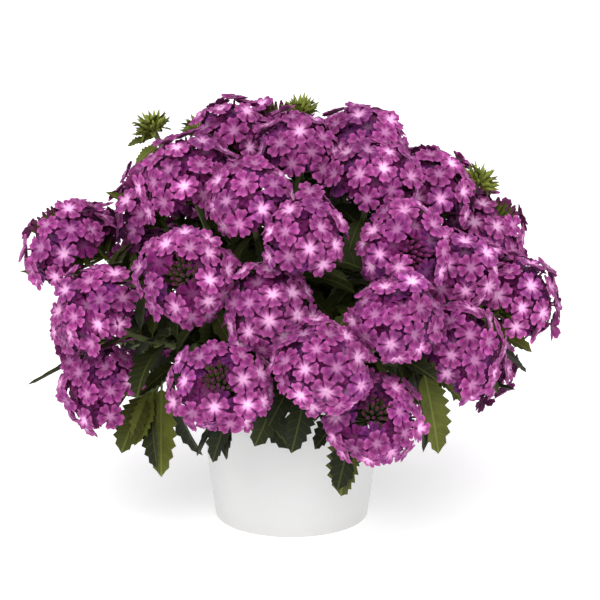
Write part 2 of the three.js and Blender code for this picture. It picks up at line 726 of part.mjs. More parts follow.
// The pot: a thin tapered wall with a collar, a flat base and drain holes
function potSolid() {
  const { height, baseRadius, rimRadius, collarStep, bevel, wall, floor, chamfer } = POT;
  const collar = height - POT.collarHeight;
  let pot = lathe([
    [0, 0], [baseRadius - chamfer, 0], [baseRadius, chamfer], [wallRadius(collar), collar],
    [wallRadius(collar) + collarStep, collar + bevel], [rimRadius, height - bevel],
    [rimRadius - bevel, height], [wallRadius(height) - wall, height],
    [wallRadius(floor) - wall, floor], [0, floor],
  ]);
  for (let k = 0; k < DRAIN.count; k++) {
    const angle = (2 * Math.PI * (k + 0.5)) / DRAIN.count;
    const hole = new THREE.CylinderGeometry(DRAIN.radius, DRAIN.radius, 4 * floor, DRAIN.sides)
      .rotateX(Math.PI / 2)
      .translate(DRAIN.ringRadius * Math.cos(angle), DRAIN.ringRadius * Math.sin(angle), 0);
    pot = pot.subtract(solidOf(hole));
  }
  return pot;
}

// The soil fills the pot to below its rim, domed a little, with a hole for each trunk
function soilSolid(trunks) {
  const bottom = POT.floor + SOIL.gap;
  const edge = (z) => wallRadius(z) - POT.wall - SOIL.gap;
  let soil = lathe([
    [0, bottom], [edge(bottom), bottom], [edge(SOIL.top), SOIL.top],
    [SOIL.shoulderRadius, SOIL.top + SOIL.shoulder * SOIL.crown], [0, SOIL.top + SOIL.crown],
  ]);
  for (const trunk of trunks) soil = soil.subtract(solidOf(footHole(trunk)));
  return soil;
}

// The whole plant
const plant = new THREE.Group();

function place(name, geometry, colour, roughness) {
  const material = new THREE.MeshStandardMaterial({ color: colour, roughness, metalness: 0 });
  const mesh = new THREE.Mesh(geometry, material);
  mesh.name = name;
  plant.add(mesh);
  return mesh;
}

const number = (k) => String(k + 1).padStart(2, '0');
const settled = settleHeads();
settled.forEach((head, k) => { head.tuft = k >= HEADS.length; });
const trunks = growStems(settled);
growLeaves(trunks, settled);

place('pot', geometryOf(potSolid()), COLOURS.pot, 0.45);
place('soil', geometryOf(soilSolid(trunks)), COLOURS.soil, 0.95);
trunks.forEach((trunk, k) => {
  const geometry = faceted(leafyStemGeometry(trunk, makeRandom(SEEDS.tufts + k)));
  place(`leafy_stem_${number(k)}`, geometry, COLOURS.green, 0.6);
});
settled.slice(0, HEADS.length).forEach((head, k) => {
  const geometry = faceted(headGeometry(head.width, makeRandom(SEEDS.heads + k)));
  const mesh = place(`flower_head_${number(k)}`, geometry, COLOURS.petals, 0.55);
  mesh.position.copy(head.centre);
  mesh.quaternion.setFromUnitVectors(v3(0, 0, 1), head.axis);
});

export default plant;
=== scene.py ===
"""A potted garden verbena in full flower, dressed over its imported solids.

The plant is grown here by the same rule as its solids: flower heads settle on a mound, square stems
rise from the soil and fork towards them, and leaves find room between. Each finer piece then takes
the place of its solid: florets and calyces for a head, toothed leaves and rounded stems for a leafy
stem, turned shells for the pot and the soil. Growth is worked out in millimetres and every mesh is
given in metres, +Z up, with the viewer on the -Y side.
"""
import logging
import math
from dataclasses import dataclass, field, fields, replace
from enum import Enum
from typing import Iterable, Sequence

import bpy
import numpy as np
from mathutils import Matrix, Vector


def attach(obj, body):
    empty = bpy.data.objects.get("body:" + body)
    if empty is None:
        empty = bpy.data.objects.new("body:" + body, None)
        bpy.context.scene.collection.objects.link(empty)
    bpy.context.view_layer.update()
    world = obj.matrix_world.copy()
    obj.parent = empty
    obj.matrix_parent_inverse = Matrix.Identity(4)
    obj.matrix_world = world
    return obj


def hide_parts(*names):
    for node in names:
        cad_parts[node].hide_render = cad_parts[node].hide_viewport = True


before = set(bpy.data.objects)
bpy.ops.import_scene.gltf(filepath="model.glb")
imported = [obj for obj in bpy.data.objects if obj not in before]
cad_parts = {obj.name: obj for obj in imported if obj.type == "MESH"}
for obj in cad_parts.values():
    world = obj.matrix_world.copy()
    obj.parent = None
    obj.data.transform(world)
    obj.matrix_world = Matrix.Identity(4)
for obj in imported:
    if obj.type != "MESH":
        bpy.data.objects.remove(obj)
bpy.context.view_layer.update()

log = logging.getLogger("verbena")

MM = 0.001
ROOT = "root"
FULL_TURN = 2 * math.pi
GOLDEN_ANGLE = math.radians(137.508)
# The share of its length along +Z from which a unit vector counts as upright
STEEP = 0.9
# A share of a length too small to see
SLIVER = 0.001
# How far to either side of a point of a curve its tangent is taken, as a share of the curve
TANGENT_STEP = 1e-4

Material = bpy.types.Material
Socket = bpy.types.NodeSocket
Generator = np.random.Generator
Array = np.ndarray
Pair = tuple[float, float]
# A turned shape's section: shares of the way along with their radii, the ends of radius 0
Profile = tuple[Pair, ...]


class Slot(Enum):
    """The record's material slots."""

    POT = "pot"
    SOIL = "soil"
    FOLIAGE = "foliage"
    PETALS = "petals"


class Stage(Enum):
    """How far a flower head has opened."""

    OPEN = "open"
    BUDDING = "green buds in the middle"
    OPENING = "purple buds in the middle"


# Flower heads: angle round the pot (0 to the viewer, 90 to the right), angle above the mound's
# middle, reach (1 on the mound) and width in millimetres
HEADS = (
    (-127, 76, 0.98, 48), (8, 75, 0.97, 48), (87, 69, 0.96, 50), (-56, 57, 0.97, 54),
    (-92, 46, 0.87, 48), (-82, 26, 1.08, 53), (-16, 52, 0.98, 50), (-30, 29, 0.97, 54),
    (-61, 14, 0.97, 51), (-67, -9, 0.88, 54), (-17, 1, 0.97, 54), (3, 37, 1.06, 48),
    (-3, 22, 0.84, 52), (7, 9, 1.07, 52), (20, -7, 0.96, 54), (49, 58, 0.96, 51),
    (79, 51, 0.95, 48), (38, 36, 0.98, 54), (92, 27, 0.98, 49), (25, 19, 1.08, 50),
    (47, 7, 0.97, 52), (80, 18, 1.03, 52), (62, 25, 0.92, 48), (102, 6, 0.94, 52),
    (108, 0, 0.91, 50), (123, 49, 0.93, 54), (118, 20, 1.04, 54), (128, -4, 0.96, 52),
    (142, 60, 0.96, 52), (142, 33, 0.94, 54), (144, 10, 1.02, 54), (172, 43, 1.02, 54),
    (170, 19, 0.98, 54), (164, -6, 0.94, 52), (190, 68, 0.93, 52), (202, 28, 1.04, 54),
    (196, 3, 1.0, 54), (206, 48, 0.93, 50), (226, 43, 0.94, 54), (224, 13, 0.96, 54),
    (222, -9, 0.98, 50), (250, 22, 1.04, 52), (250, -2, 0.96, 52),
)
# Heads whose middle is still in bud, counted from 1
BUDDING_HEADS = frozenset({6, 8, 11, 15, 19, 27, 31, 35, 40, 43})
# Heads whose middle is still closed but has its colour
OPENING_HEADS = frozenset({5, 18, 24, 30, 37})
# Where the middle of some heads faces, when it isn't straight out: angle round the pot and above
# the horizontal
CROWNS = {8: (-6, 20), 11: (-5, 32), 15: (1, 28), 18: (20, 5)}
# Shoots still in bud, green tufts a little above the flowers, given as the heads are
TUFTS = ((-106, 57, 1.17, 20), (165, 82, 1.08, 18), (90, 42, 1.12, 19), (226, 58, 1.1, 18))
# Main stems: angle round the pot, angle at which they fork, and distance of their foot from the middle
TRUNKS = (
    (-60, 8, 36), (-14, 8, 36), (29, 6, 36), (72, 10, 36), (118, 12, 36), (160, 12, 36),
    (208, 12, 36), (256, 12, 36), (-72, 48, 17), (-14, 48, 17), (44, 48, 17), (97, 46, 17),
    (163, 54, 17), (225, 52, 17),
)


@dataclass(frozen=True)
class Whorl:
    """Leaves at one height of every stem of a kind: their faces, length and droop.

    Stems whose head stands higher than the last angle have none.
    """

    on_trunk: bool
    share: float
    faces: tuple[int, ...] = (0, 90, 180, 270)
    length: float = 47
    droop: float = 1.0
    highest: float = 90


# The whorls that the solids have, and the small leaves between them inside the mound
WHORLS = (
    Whorl(True, 0.9, (270, 180, 0), droop=1.5, highest=20),
    Whorl(False, 0.66, (270, 90)),
    Whorl(False, 0.34, (180, 0), highest=60),
)
INNER_WHORLS = (
    Whorl(False, 0.93, length=19), Whorl(False, 0.82, length=26), Whorl(False, 0.5, length=32),
    Whorl(False, 0.16, length=32), Whorl(True, 0.7, length=36), Whorl(True, 0.5, length=36),
    Whorl(True, 0.32, length=34), Whorl(True, 0.12, length=30),
)
# Leaves that hang over the pot: the head on whose stem they grow, and the place of their tip
HANGING = (
    (10, (-84, -60, 48)), (11, (-50, -88, 60)), (15, (26, -98, 46)), (21, (84, -72, 62)),
    (22, (146, -8, 98)),
)
HANGING_WHORL, HANGING_FACE, HANGING_DROOP = 1, 270, 0.4
# How far forward the heads' shade begins, and how much darker a leaf is there
SHADE_DEPTH, SHADE_LOSS = 40, 0.25


@dataclass(frozen=True)
class EdgeLeaf:
    """A leaf that shows past the outline of the mound.

    It grows at a share of the way along the stem of a numbered head, and its tip is a place in
    millimetres. The breadth is 1 for a leaf as wide as its solid, and light is as a leaf's, mostly
    high here for painted light at the outline. Its upper side faces the viewer.
    """

    head: int
    share: float
    tip: tuple[float, float, float]
    breadth: float = 1.2
    droop: float = 0.5
    light: float = 0.8


EDGE_LEAVES = tuple(EdgeLeaf(*row) for row in (
    (10, 0.75, (-102, -52, 56), 1.2, 0.4, 0.3), (10, 0.6, (-94, -54, 62), 0.9),
    (10, 0.5, (-77, -56, 41), 1.1), (10, 0.2, (-92, -40, 89), 0.8, 0.4, 0.0),
    (11, 0.7, (-62, -72, 63), 0.9, 0.4, 0.0), (11, 0.6, (-44, -78, 58), 1.1, 0.4, 0.1),
    (11, 0.5, (-54, -74, 60), 1.0, 0.4, 0.0), (15, 0.5, (10, -80, 68), 1.2, 0.4, 0.0),
    (15, 0.8, (25, -86, 38), 1.4, 0.3), (21, 0.75, (89, -69, 58), 1.2, 0.3),
    (21, 0.8, (102, -68, 92), 1.0, 0.3), (22, 0.8, (144, -26, 111), 1.0, 0.2),
    (22, 0.7, (126, -24, 82), 0.5, 0.2, 0.0), (25, 0.8, (136, 4, 80), 0.35, 0.15, 0.0),
    (9, 0.8, (-157, -44, 97), 0.22, 0.15, 0.0), (6, 0.8, (-160, -22, 160), 0.4, 0.15),
    (5, 0.9, (-104, -10, 208), 0.8), (44, 0.95, (-99, 20, 226), 0.5, 0.3),
    (44, 0.9, (-94, 16, 216), 0.5, 0.3), (44, 0.85, (-82, 14, 220), 0.5, 0.3),
))


@dataclass(frozen=True)
class PotSizes:
    """Sizes of the pot and its soil in millimetres, as the solids have them."""

    height: float = 96
    base_radius: float = 46.5
    rim_radius: float = 60.5
    collar_height: float = 15
    collar_step: float = 1.6
    wall: float = 1.6
    floor: float = 2.2
    chamfer: float = 2
    drain_ring: float = 33
    drain_radius: float = 4
    drain_count: int = 6
    soil_top: float = 85
    soil_crown: float = 3.2
    soil_gap: float = 0.32

    def wall_radius(self, z: Array | float) -> Array | float:
        """Radius of the outer wall below the collar: it grows evenly with height."""
        slope = (self.rim_radius - self.collar_step - self.base_radius) / (self.height - self.chamfer)
        return self.base_radius + slope * (z - self.chamfer)


@dataclass(frozen=True)
class GrowthRule:
    """How the plant grows, in millimetres, degrees and shares, as the solids have it."""

    mound_z: float = 112
    mound_radii: tuple[float, float, float] = (137, 128, 128)
    face_from: float = 40
    spacing: float = 0.97
    settle_rounds: int = 30
    tip_reach: float = 0.975
    seat_drop: float = 0.62
    seat_gap: float = 0.3
    tuft_core: float = 3.2
    trunk_radius: float = 2.5
    foot_radius: float = 2.8
    branch_radius: float = 1.8
    node_radius: float = 3.6
    depth: float = 24
    fork_distance: float = 66
    fork_z: float = 104
    rise: float = 0.45
    run_out: float = 0.3
    bow: float = 0.35
    square_off: float = 0.8
    above_soil: float = 3
    leaf_length: float = 47
    leaf_spread: float = 0.19
    leaf_arch: float = 0.75
    leaf_fold: float = 0.32
    facing_stem: float = 0.6
    facing_sky: float = 0.8
    edge_facing: float = 35
    least_rise: float = 0.42
    search_share: float = 1.1
    stem_samples: int = 21
    turns: tuple[float, ...] = (0, 24, -24, 48, -48)
    leans: tuple[float, ...] = (22, 42, 4, 60, -16)


@dataclass(frozen=True)
class Clearance:
    """How far a leaf keeps from what is round it, in millimetres, and how far out it may reach."""

    head: float = 2.0
    stem: float = 5.3
    leaf: float = 8.0
    pot: float = 3.0
    floor: float = 6.0
    near: float = 12.0
    reach: float = 1.15


@dataclass(frozen=True)
class LeafKind:
    """A kind of leaf that grows in whorls: what it keeps clear of, and how it varies.

    Length and droop vary by shares, and the face by degrees, half of that either way.
    """

    whorls: tuple[Whorl, ...]
    clear: Clearance
    seed: int
    vary_length: float
    vary_droop: float
    vary_face: float
    # How light its leaves are painted: low, for painted shade in the mound
    light: float
    inner: bool


OUTER_LEAVES = LeafKind(
    WHORLS, Clearance(), seed=7, vary_length=0.3, vary_droop=0.6, vary_face=0, light=0.15, inner=False
)
INNER_LEAVES = LeafKind(
    INNER_WHORLS,
    Clearance(head=0.5, stem=2.2, leaf=3.6, pot=1.0, near=10.0, reach=1.02),
    seed=11, vary_length=0.4, vary_droop=0.8, vary_face=40, light=0.1, inner=True,
)

# Places on a blade, as shares of its length and half-width, that are tested for room
LEAF_SAMPLES = np.array(
    [[0.14, 0.4], [0.27, 0.8], [0.4, 1], [0.55, 0.9], [0.7, 0.8], [0.85, 0.4], [1, 0]]
)


class Lcg:
    """Repeatable random numbers from 0 to 1, the same as those the solids were grown with."""

    factor: int = 1664525
    step: int = 1013904223
    span: int = 2**32

    def __init__(self, seed: int) -> None:
        """Start the run of numbers at a seed."""
        self.state = seed

    def next(self) -> float:
        """The next number: the last one times a factor, plus a step, within a span."""
        self.state = (self.state * self.factor + self.step) % self.span
        return self.state / self.span


def unit(v: Array) -> Array:
    """Vectors of length 1 in the same directions."""
    return v / np.linalg.norm(v, axis=-1, keepdims=True)


def towards(side: float, lift: float) -> Array:
    """Unit vector at an angle round the pot and an angle above the horizontal, in degrees."""
    a, e = math.radians(side), math.radians(lift)
    return np.array([math.cos(e) * math.sin(a), -math.cos(e) * math.cos(a), math.sin(e)])


def turn_onto(start: Array, goal: Array) -> Array:
    """The smallest turn that takes one unit vector onto another.

    With v = start x goal and K its cross-product matrix, the turn is 1 + K + K K / (1 + start . goal).

    Args:
        start: unit vector before the turn.
        goal: unit vector after it, not opposite to start.

    Returns:
        A 3 x 3 matrix.
    """
    v = np.cross(start, goal)
    k = np.array([[0, -v[2], v[1]], [v[2], 0, -v[0]], [-v[1], v[0], 0]])
    return np.eye(3) + k + k @ k / (1 + start @ goal)


def cross_frame(axis: Array) -> tuple[Array, Array]:
    """Two unit vectors square to each given unit vector.

    Args:
        axis: unit vectors, shape (..., 3).

    Returns:
        u and v with u x v = axis.
    """
    steep = np.abs(axis[..., 2:]) >= STEEP
    helper = np.where(steep, [1.0, 0.0, 0.0], [0.0, 0.0, 1.0])
    u = unit(np.cross(helper, axis))
    return u, np.cross(axis, u)


def across_axis(
    radius: Array | float, angle: Array, u: Array, v: Array
) -> Array:
    """Steps out from an axis, by a radius times the cosine along u plus the sine along v.

    Args:
        radius: how far out, of a shape that fits the angles.
        angle: angles in radians.
        u: where angle 0 points, of a shape that fits (..., 3).
        v: where a quarter turn points.

    Returns:
        The steps, shape (..., 3).
    """
    return (radius * np.cos(angle))[..., None] * u + (radius * np.sin(angle))[..., None] * v


def icosahedron_normals() -> Array:
    """Normals of a twenty-sided solid that stands with its first face to +Z, shape (20, 3).

    Returns:
        The normals.
    """
    t = (1 + math.sqrt(5)) / 2
    corners = unit(np.array([
        [-1, t, 0], [1, t, 0], [-1, -t, 0], [1, -t, 0], [0, -1, t], [0, 1, t],
        [0, -1, -t], [0, 1, -t], [t, 0, -1], [t, 0, 1], [-t, 0, -1], [-t, 0, 1],
    ]))
    faces = np.array([
        [0, 11, 5], [0, 5, 1], [0, 1, 7], [0, 7, 10], [0, 10, 11], [1, 5, 9], [5, 11, 4],
        [11, 10, 2], [10, 7, 6], [7, 1, 8], [3, 9, 4], [3, 4, 2], [3, 2, 6], [3, 6, 8], [3, 8, 9],
        [4, 9, 5], [2, 4, 11], [6, 2, 10], [8, 6, 7], [9, 8, 1],
    ])
    normals = unit(corners[faces].sum(axis=1))
    return normals @ turn_onto(normals[0], np.array([0.0, 0.0, 1.0])).T


@dataclass
class Head:
    """A flower head, or a shoot in bud, on the mound."""

    centre: Array
    width: float
    lift: float
    reach: float
    tuft: bool
    stage: Stage = Stage.OPEN
    axis: Array = field(default_factory=lambda: np.zeros(3))
    seat: Array = field(default_factory=lambda: np.zeros(3))


@dataclass
class Leaf:
    """A leaf: where it grows, the way it points, its upper side, its length and its droop.

    Light is how light the leaf is painted: 0 for painted shade on a leaf inside the mound, and 1
    for painted light on one outside.
    """

    root: Array
    along: Array
    up: Array
    length: float
    droop: float
    inner: bool = False
    breadth: float = 1.1
    light: float = 0.15
    samples: Array = field(default_factory=lambda: np.zeros((0, 3)))


@dataclass
class Stem:
    """A stem along a cubic curve, with a steady sideways direction so that its faces don't twist."""

    controls: Array
    aside: Array
    radius: float
    lift: float
    trunk: int
    head: Head | None = None
    leaves: list[Leaf] = field(default_factory=list)
    taken: set[tuple[float, int]] = field(default_factory=set)

    def at(self, share: Array | float) -> Array:
        """Points at shares t of the curve: the cubic Bezier sum of its four control points.

        Args:
            share: one share, or an array of them.

        Returns:
            The points, shape (..., 3).
        """
        t = np.asarray(share, float)[..., None]
        weights = np.stack([(1 - t) ** 3, 3 * t * (1 - t) ** 2, 3 * t**2 * (1 - t), t**3])
        return np.einsum("k...i,kj->...j", weights, self.controls)

    def frame_at(self, share: Array | float) -> tuple[Array, ...]:
        """The stem's frame at shares of its curve.

        Args:
            share: one share, or an array of them.

        Returns:
            The points, the tangents, and two directions across: u to the side, v above it.
        """
        share = np.asarray(share, float)
        after, before = np.minimum(share + TANGENT_STEP, 1), np.maximum(share - TANGENT_STEP, 0)
        tangent = unit(self.at(after) - self.at(before))
        u = unit(self.aside - (tangent @ self.aside)[..., None] * tangent)
        return self.at(share), tangent, u, np.cross(tangent, u)


class Growth:
    """The whole plant as points and directions: its heads, stems and leaves, in millimetres."""

    def __init__(self, rule: GrowthRule, pot: PotSizes) -> None:
        """Grow the plant.

        Args:
            rule: how it grows.
            pot: the pot that it stands in.
        """
        self.rule, self.pot = rule, pot
        self.radii = np.array(rule.mound_radii, float)
        self.heads = self._settled_heads()
        self.trunks: list[Stem] = []
        self.branches: list[Stem] = []
        self.forks: list[Array] = []
        self._grow_stems()
        self._leaf_points = np.zeros((0, 3))
        steps = np.linspace(0, 1, rule.stem_samples)
        self._stem_points = np.stack([s.at(steps) for s in self.stems()])
        self._head_centres = np.array([h.centre for h in self.heads])
        self._head_radii = 0.5 * np.array([h.width for h in self.heads])
        self._grow_hanging_leaves()
        self._grow_whorls(OUTER_LEAVES)
        self._grow_edge_leaves()
        self._grow_whorls(INNER_LEAVES)

    def stems(self) -> list[Stem]:
        """Every trunk, then every branch."""
        return [*self.trunks, *self.branches]

    def reach(self, p: Array) -> Array:
        """How far out points lie, 1 on the mound: their distance in units of the mound's radii."""
        return np.linalg.norm((p - [0, 0, self.rule.mound_z]) / self.radii, axis=-1)

    def _settled_heads(self) -> list[Head]:
        """Slide heads and tufts round the mound, each at its own reach, until they stand apart.

        Two that are too near are each pushed by half of what is missing, and any that still overlap
        at the end are made narrower.

        Returns:
            The heads, then the tufts.
        """
        rule = self.rule
        heads = []
        for k, (side, lift, reach, width) in enumerate([*HEADS, *TUFTS]):
            centre = towards(side, lift) * self.radii * reach + [0, 0, rule.mound_z]
            stage = Stage.OPENING if k + 1 in OPENING_HEADS else Stage.OPEN
            stage = Stage.BUDDING if k + 1 in BUDDING_HEADS else stage
            heads.append(Head(centre, width, lift, reach, k >= len(HEADS), stage))
        pairs = [(a, b) for i, a in enumerate(heads) for b in heads[i + 1:]]
        for _ in range(rule.settle_rounds):
            for a, b in pairs:
                apart = b.centre - a.centre
                distance = math.sqrt(apart @ apart)
                missing = 0.5 * rule.spacing * (a.width + b.width) - distance
                if missing > 0:
                    push = apart * (0.5 * missing / distance)
                    b.centre = b.centre + push
                    a.centre = a.centre - push
            for head in heads:
                pull = head.reach / float(self.reach(head.centre))
                head.centre = head.centre * pull + [0, 0, (1 - pull) * rule.mound_z]
        for a, b in pairs:
            room = np.linalg.norm(b.centre - a.centre) / (0.5 * rule.spacing * (a.width + b.width))
            if room < 1:
                a.width *= room
                b.width *= room
        for head in heads:
            head.axis = unit(head.centre - [0, 0, rule.face_from])
            radius = 0.5 * head.width / rule.tip_reach
            drop = rule.tuft_core if head.tuft else rule.seat_drop * radius + rule.seat_gap
            head.seat = head.centre - drop * head.axis
        return heads

    def _grow_stems(self) -> None:
        """Trunks rise from the soil; each head's branch leaves the free face that looks at it best."""
        rule = self.rule
        fork_axis = np.array([0, 0, rule.fork_z])
        upright = np.array([0.0, 0.0, 1.0])
        normals = icosahedron_normals()
        outs = np.array([towards(side, lift) for side, lift, _ in TRUNKS])
        borne: list[list[Head]] = [[] for _ in TRUNKS]
        for head in self.heads:
            borne[int(np.argmax(outs @ unit(head.centre - fork_axis)))].append(head)
        for k, (side, lift, root) in enumerate(TRUNKS):
            out = outs[k]
            ground = towards(side, 0) * root
            ground[2] = self.pot.soil_top + self.pot.soil_crown + rule.above_soil
            fork = out * rule.fork_distance + fork_axis
            span = float(np.linalg.norm(fork - ground))
            controls = np.array([
                ground,
                ground + upright * rule.rise * span,
                fork - out * rule.run_out * span,
                fork - out * rule.node_radius,
            ])
            aside = unit(np.cross(upright, out))
            self.trunks.append(Stem(controls, aside, rule.trunk_radius, lift, k))
            self.forks.append(fork)
            faces = normals @ turn_onto(upright, -out).T
            free = list(range(1, len(faces)))
            waiting = list(borne[k])
            while waiting:
                aims = np.array([unit(head.seat - fork) for head in waiting])
                match = aims @ faces[free].T
                row, column = np.unravel_index(int(np.argmax(match)), match.shape)
                head, face = waiting.pop(int(row)), free.pop(int(column))
                self.branches.append(self._branch(k, fork, head, faces[face]))

    def _branch(self, trunk: int, fork: Array, head: Head, normal: Array) -> Stem:
        """The stem from a face of a fork's swelling to the seat of a head or the heart of a tuft.

        It leaves between the face's normal and the way to the seat, and comes in along the axis.

        Args:
            trunk: the number of its trunk.
            fork: the middle of the swelling.
            head: the head or tuft.
            normal: the way the face looks.

        Returns:
            The stem.
        """
        rule = self.rule
        start = fork + normal * rule.node_radius
        span = float(np.linalg.norm(head.seat - start))
        away = unit(unit(head.seat - start) + normal * rule.square_off)
        controls = np.array([
            start,
            start + away * rule.bow * span,
            head.seat - head.axis * rule.bow * span,
            head.seat,
        ])
        aside = unit(np.cross([0.0, 0.0, 1.0], head.axis))
        return Stem(controls, aside, rule.branch_radius, head.lift, trunk, head)

    def make_leaf(
        self, root: Array, along: Array, tangent: Array, length: float, droop: float
    ) -> Leaf:
        """A leaf whose upper side looks between its stem's tip and the sky.

        Args:
            root: where it grows.
            along: the way it points.
            tangent: the stem's direction there.
            length: its length in millimetres.
            droop: how far it bends down.

        Returns:
            The leaf, with the points that are tested for room.
        """
        rule = self.rule
        up = tangent * rule.facing_stem + [0, 0, rule.facing_sky]
        leaf = Leaf(root, along, unit(up - (up @ along) * along), length, droop)
        share = np.repeat(LEAF_SAMPLES[:, 0], 3)
        across = (LEAF_SAMPLES[:, 1:] * [-1, 0, 1]).ravel()
        leaf.samples = blade_points(rule, leaf, share, across)
        return leaf

    def around(
        self, own: int, root: Array, length: float, clear: Clearance
    ) -> tuple[Array, Array]:
        """What a leaf might touch: head centres, and points along stems and on leaves.

        Args:
            own: the place of its stem in stems().
            root: where it grows.
            length: how long it is.
            clear: the distances it keeps.

        Returns:
            The points within its reach, and the distance that it keeps from each.
        """
        stem_points = self._stem_points.reshape(-1, 3)
        points = np.concatenate([self._head_centres, stem_points, self._leaf_points])
        distances = np.concatenate([
            self._head_radii + clear.head,
            np.full(len(stem_points), clear.stem),
            np.full(len(self._leaf_points), clear.leaf),
        ])
        gaps = np.linalg.norm(points - root, axis=-1)
        near = gaps < self.rule.search_share * length + distances
        first = len(self._head_centres) + own * self._stem_points.shape[1]
        mine = slice(first, first + self._stem_points.shape[1])
        near[mine] &= gaps[mine] >= clear.near
        return points[near], distances[near]

    def is_clear(
        self, leaf: Leaf, around: tuple[Array, Array], clear: Clearance
    ) -> bool:
        """Whether a leaf keeps clear of heads, stems, the pot, the ground and the leaves before it.

        Args:
            leaf: the leaf.
            around: the points that it might touch, with the distance that it keeps from each.
            clear: the distances to the pot and the ground, and how far out it may reach.

        Returns:
            True if it does.
        """
        p = leaf.samples
        beside = np.hypot(p[:, 0], p[:, 1]) > self.pot.rim_radius + clear.pot
        if not np.all(beside | (p[:, 2] > self.pot.height + clear.pot)):
            return False
        if np.any(self.reach(p) >= clear.reach) or np.any(p[:, 2] <= clear.floor):
            return False
        points, distances = around
        gaps = ((p[:, None] - points) ** 2).sum(axis=-1)
        return not np.any(gaps <= distances**2)

    def keep(self, stem: Stem, leaf: Leaf) -> None:
        """Add a leaf to its stem and to what later leaves keep clear of.

        A leaf over the front of the pot hangs in the heads' shade and is darker.

        Args:
            stem: the stem.
            leaf: the leaf.
        """
        stem.leaves.append(leaf)
        x, y, z = leaf.samples[-1]
        if abs(x) < self.pot.rim_radius and y < -SHADE_DEPTH and z < self.pot.height:
            leaf.light -= SHADE_LOSS
        self._leaf_points = np.concatenate([self._leaf_points, leaf.samples])

    def leaf_site(self, stem: Stem, share: float, face: float) -> tuple[Array, ...]:
        """Where a leaf grows on a face of its stem, whose section is square.

        Args:
            stem: the stem.
            share: how far along it.
            face: the face's angle in degrees.

        Returns:
            The leaf's root, the stem's tangent and the face's normal.
        """
        point, tangent, u, v = stem.frame_at(share)
        turn = math.radians(face)
        normal = u * math.cos(turn) + v * math.sin(turn)
        return point + normal * stem.radius * math.sqrt(0.5), tangent, normal

    def try_leaf(
        self,
        own: int,
        site: tuple[Array, ...],
        length: float,
        droop: float,
        clear: Clearance,
    ) -> Leaf | None:
        """Turn and lean a leaf until it has room, or leave it out.

        Args:
            own: the place of its stem in stems().
            site: its root, the stem's tangent and the face's normal.
            length: its length in millimetres.
            droop: how far it bends down.
            clear: the distances it keeps.

        Returns:
            The leaf, or None where there was no room.
        """
        root, tangent, normal = site
        across = np.cross(tangent, normal)
        around = self.around(own, root, length, clear)
        for lean in np.radians(self.rule.leans):
            for turn in np.radians(self.rule.turns):
                flat = normal * math.cos(turn) + across * math.sin(turn)
                along = flat * math.cos(lean) + tangent * math.sin(lean)
                if along @ normal <= self.rule.least_rise:
                    continue
                leaf = self.make_leaf(root, along, tangent, length, droop)
                if self.is_clear(leaf, around, clear):
                    return leaf
        return None

    def _grow_hanging_leaves(self) -> None:
        """The leaves that hang over the pot, each aimed at the place of its tip."""
        clear = OUTER_LEAVES.clear
        stems = self.stems()
        for number, tip in HANGING:
            own = next(k for k, s in enumerate(stems) if s.head is self.heads[number - 1])
            share = WHORLS[HANGING_WHORL].share
            root, tangent, _ = self.leaf_site(stems[own], share, HANGING_FACE)
            span = np.array(tip, float) - root
            length = float(np.linalg.norm(span))
            leaf = self.make_leaf(root, span / length, tangent, length, HANGING_DROOP)
            if self.is_clear(leaf, self.around(own, root, length, clear), clear):
                self.keep(stems[own], leaf)
                stems[own].taken.add((share, HANGING_FACE))

    def _grow_whorls(self, kind: LeafKind) -> None:
        """Leaves whorl by whorl, wherever they have room.

        Args:
            kind: their whorls, and how they vary.
        """
        random = Lcg(kind.seed)
        for whorl in kind.whorls:
            for own, stem in enumerate(self.stems()):
                if (stem.head is None) != whorl.on_trunk or stem.lift > whorl.highest:
                    continue
                for face in whorl.faces:
                    length = whorl.length * (1 + kind.vary_length * (random.next() - 0.5))
                    droop = whorl.droop * (1 + kind.vary_droop * (random.next() - 0.5))
                    turn = kind.vary_face * (random.next() - 0.5) if kind.vary_face else 0
                    if (whorl.share, face) in stem.taken:
                        continue
                    site = self.leaf_site(stem, whorl.share, face + turn)
                    leaf = self.try_leaf(own, site, length, droop, kind.clear)
                    if leaf:
                        leaf.inner, leaf.light = kind.inner, kind.light
                        self.keep(stem, leaf)

    def _grow_edge_leaves(self) -> None:
        """Leaves that show past the outline, aimed at their tips, their upper side to the viewer."""
        for edge in EDGE_LEAVES:
            stem = next(s for s in self.branches if s.head is self.heads[edge.head - 1])
            root = stem.frame_at(edge.share)[0]
            span = np.array(edge.tip, float) - root
            length = float(np.linalg.norm(span))
            up = towards(0, self.rule.edge_facing)
            leaf = self.make_leaf(root, span / length, up, length, edge.droop)
            leaf.breadth, leaf.light = edge.breadth * self.rule.leaf_length / length, edge.light
            self.keep(stem, leaf)


def blade_arc(
    rule: GrowthRule, leaves: Sequence[Leaf], share: Array
) -> tuple[Array, Array, Array]:
    """The midribs of blades, each an arc that bends down by its leaf's droop.

    With b the arch times the droop, the arc of a leaf of length L has turned by b s at share s. It
    lies L sin(b s) / b ahead of the root there, and L (1 - cos(b s)) / b below it.

    Args:
        rule: the arch.
        leaves: the leaves.
        share: shares of their length.

    Returns:
        Points and upward directions, shape (leaves, shares, 3), and ways aside, (leaves, 1, 3).
    """
    root, along, up = (
        np.array([getattr(leaf, key) for leaf in leaves])[:, None] for key in ("root", "along", "up")
    )
    length = np.array([leaf.length for leaf in leaves])[:, None, None]
    bend = rule.leaf_arch * np.array([leaf.droop for leaf in leaves])[:, None, None]
    turn = bend * share[:, None]
    middle = root + length * np.sin(turn) / bend * along - length * (1 - np.cos(turn)) / bend * up
    return middle, np.cos(turn) * up + np.sin(turn) * along, np.cross(along, up)


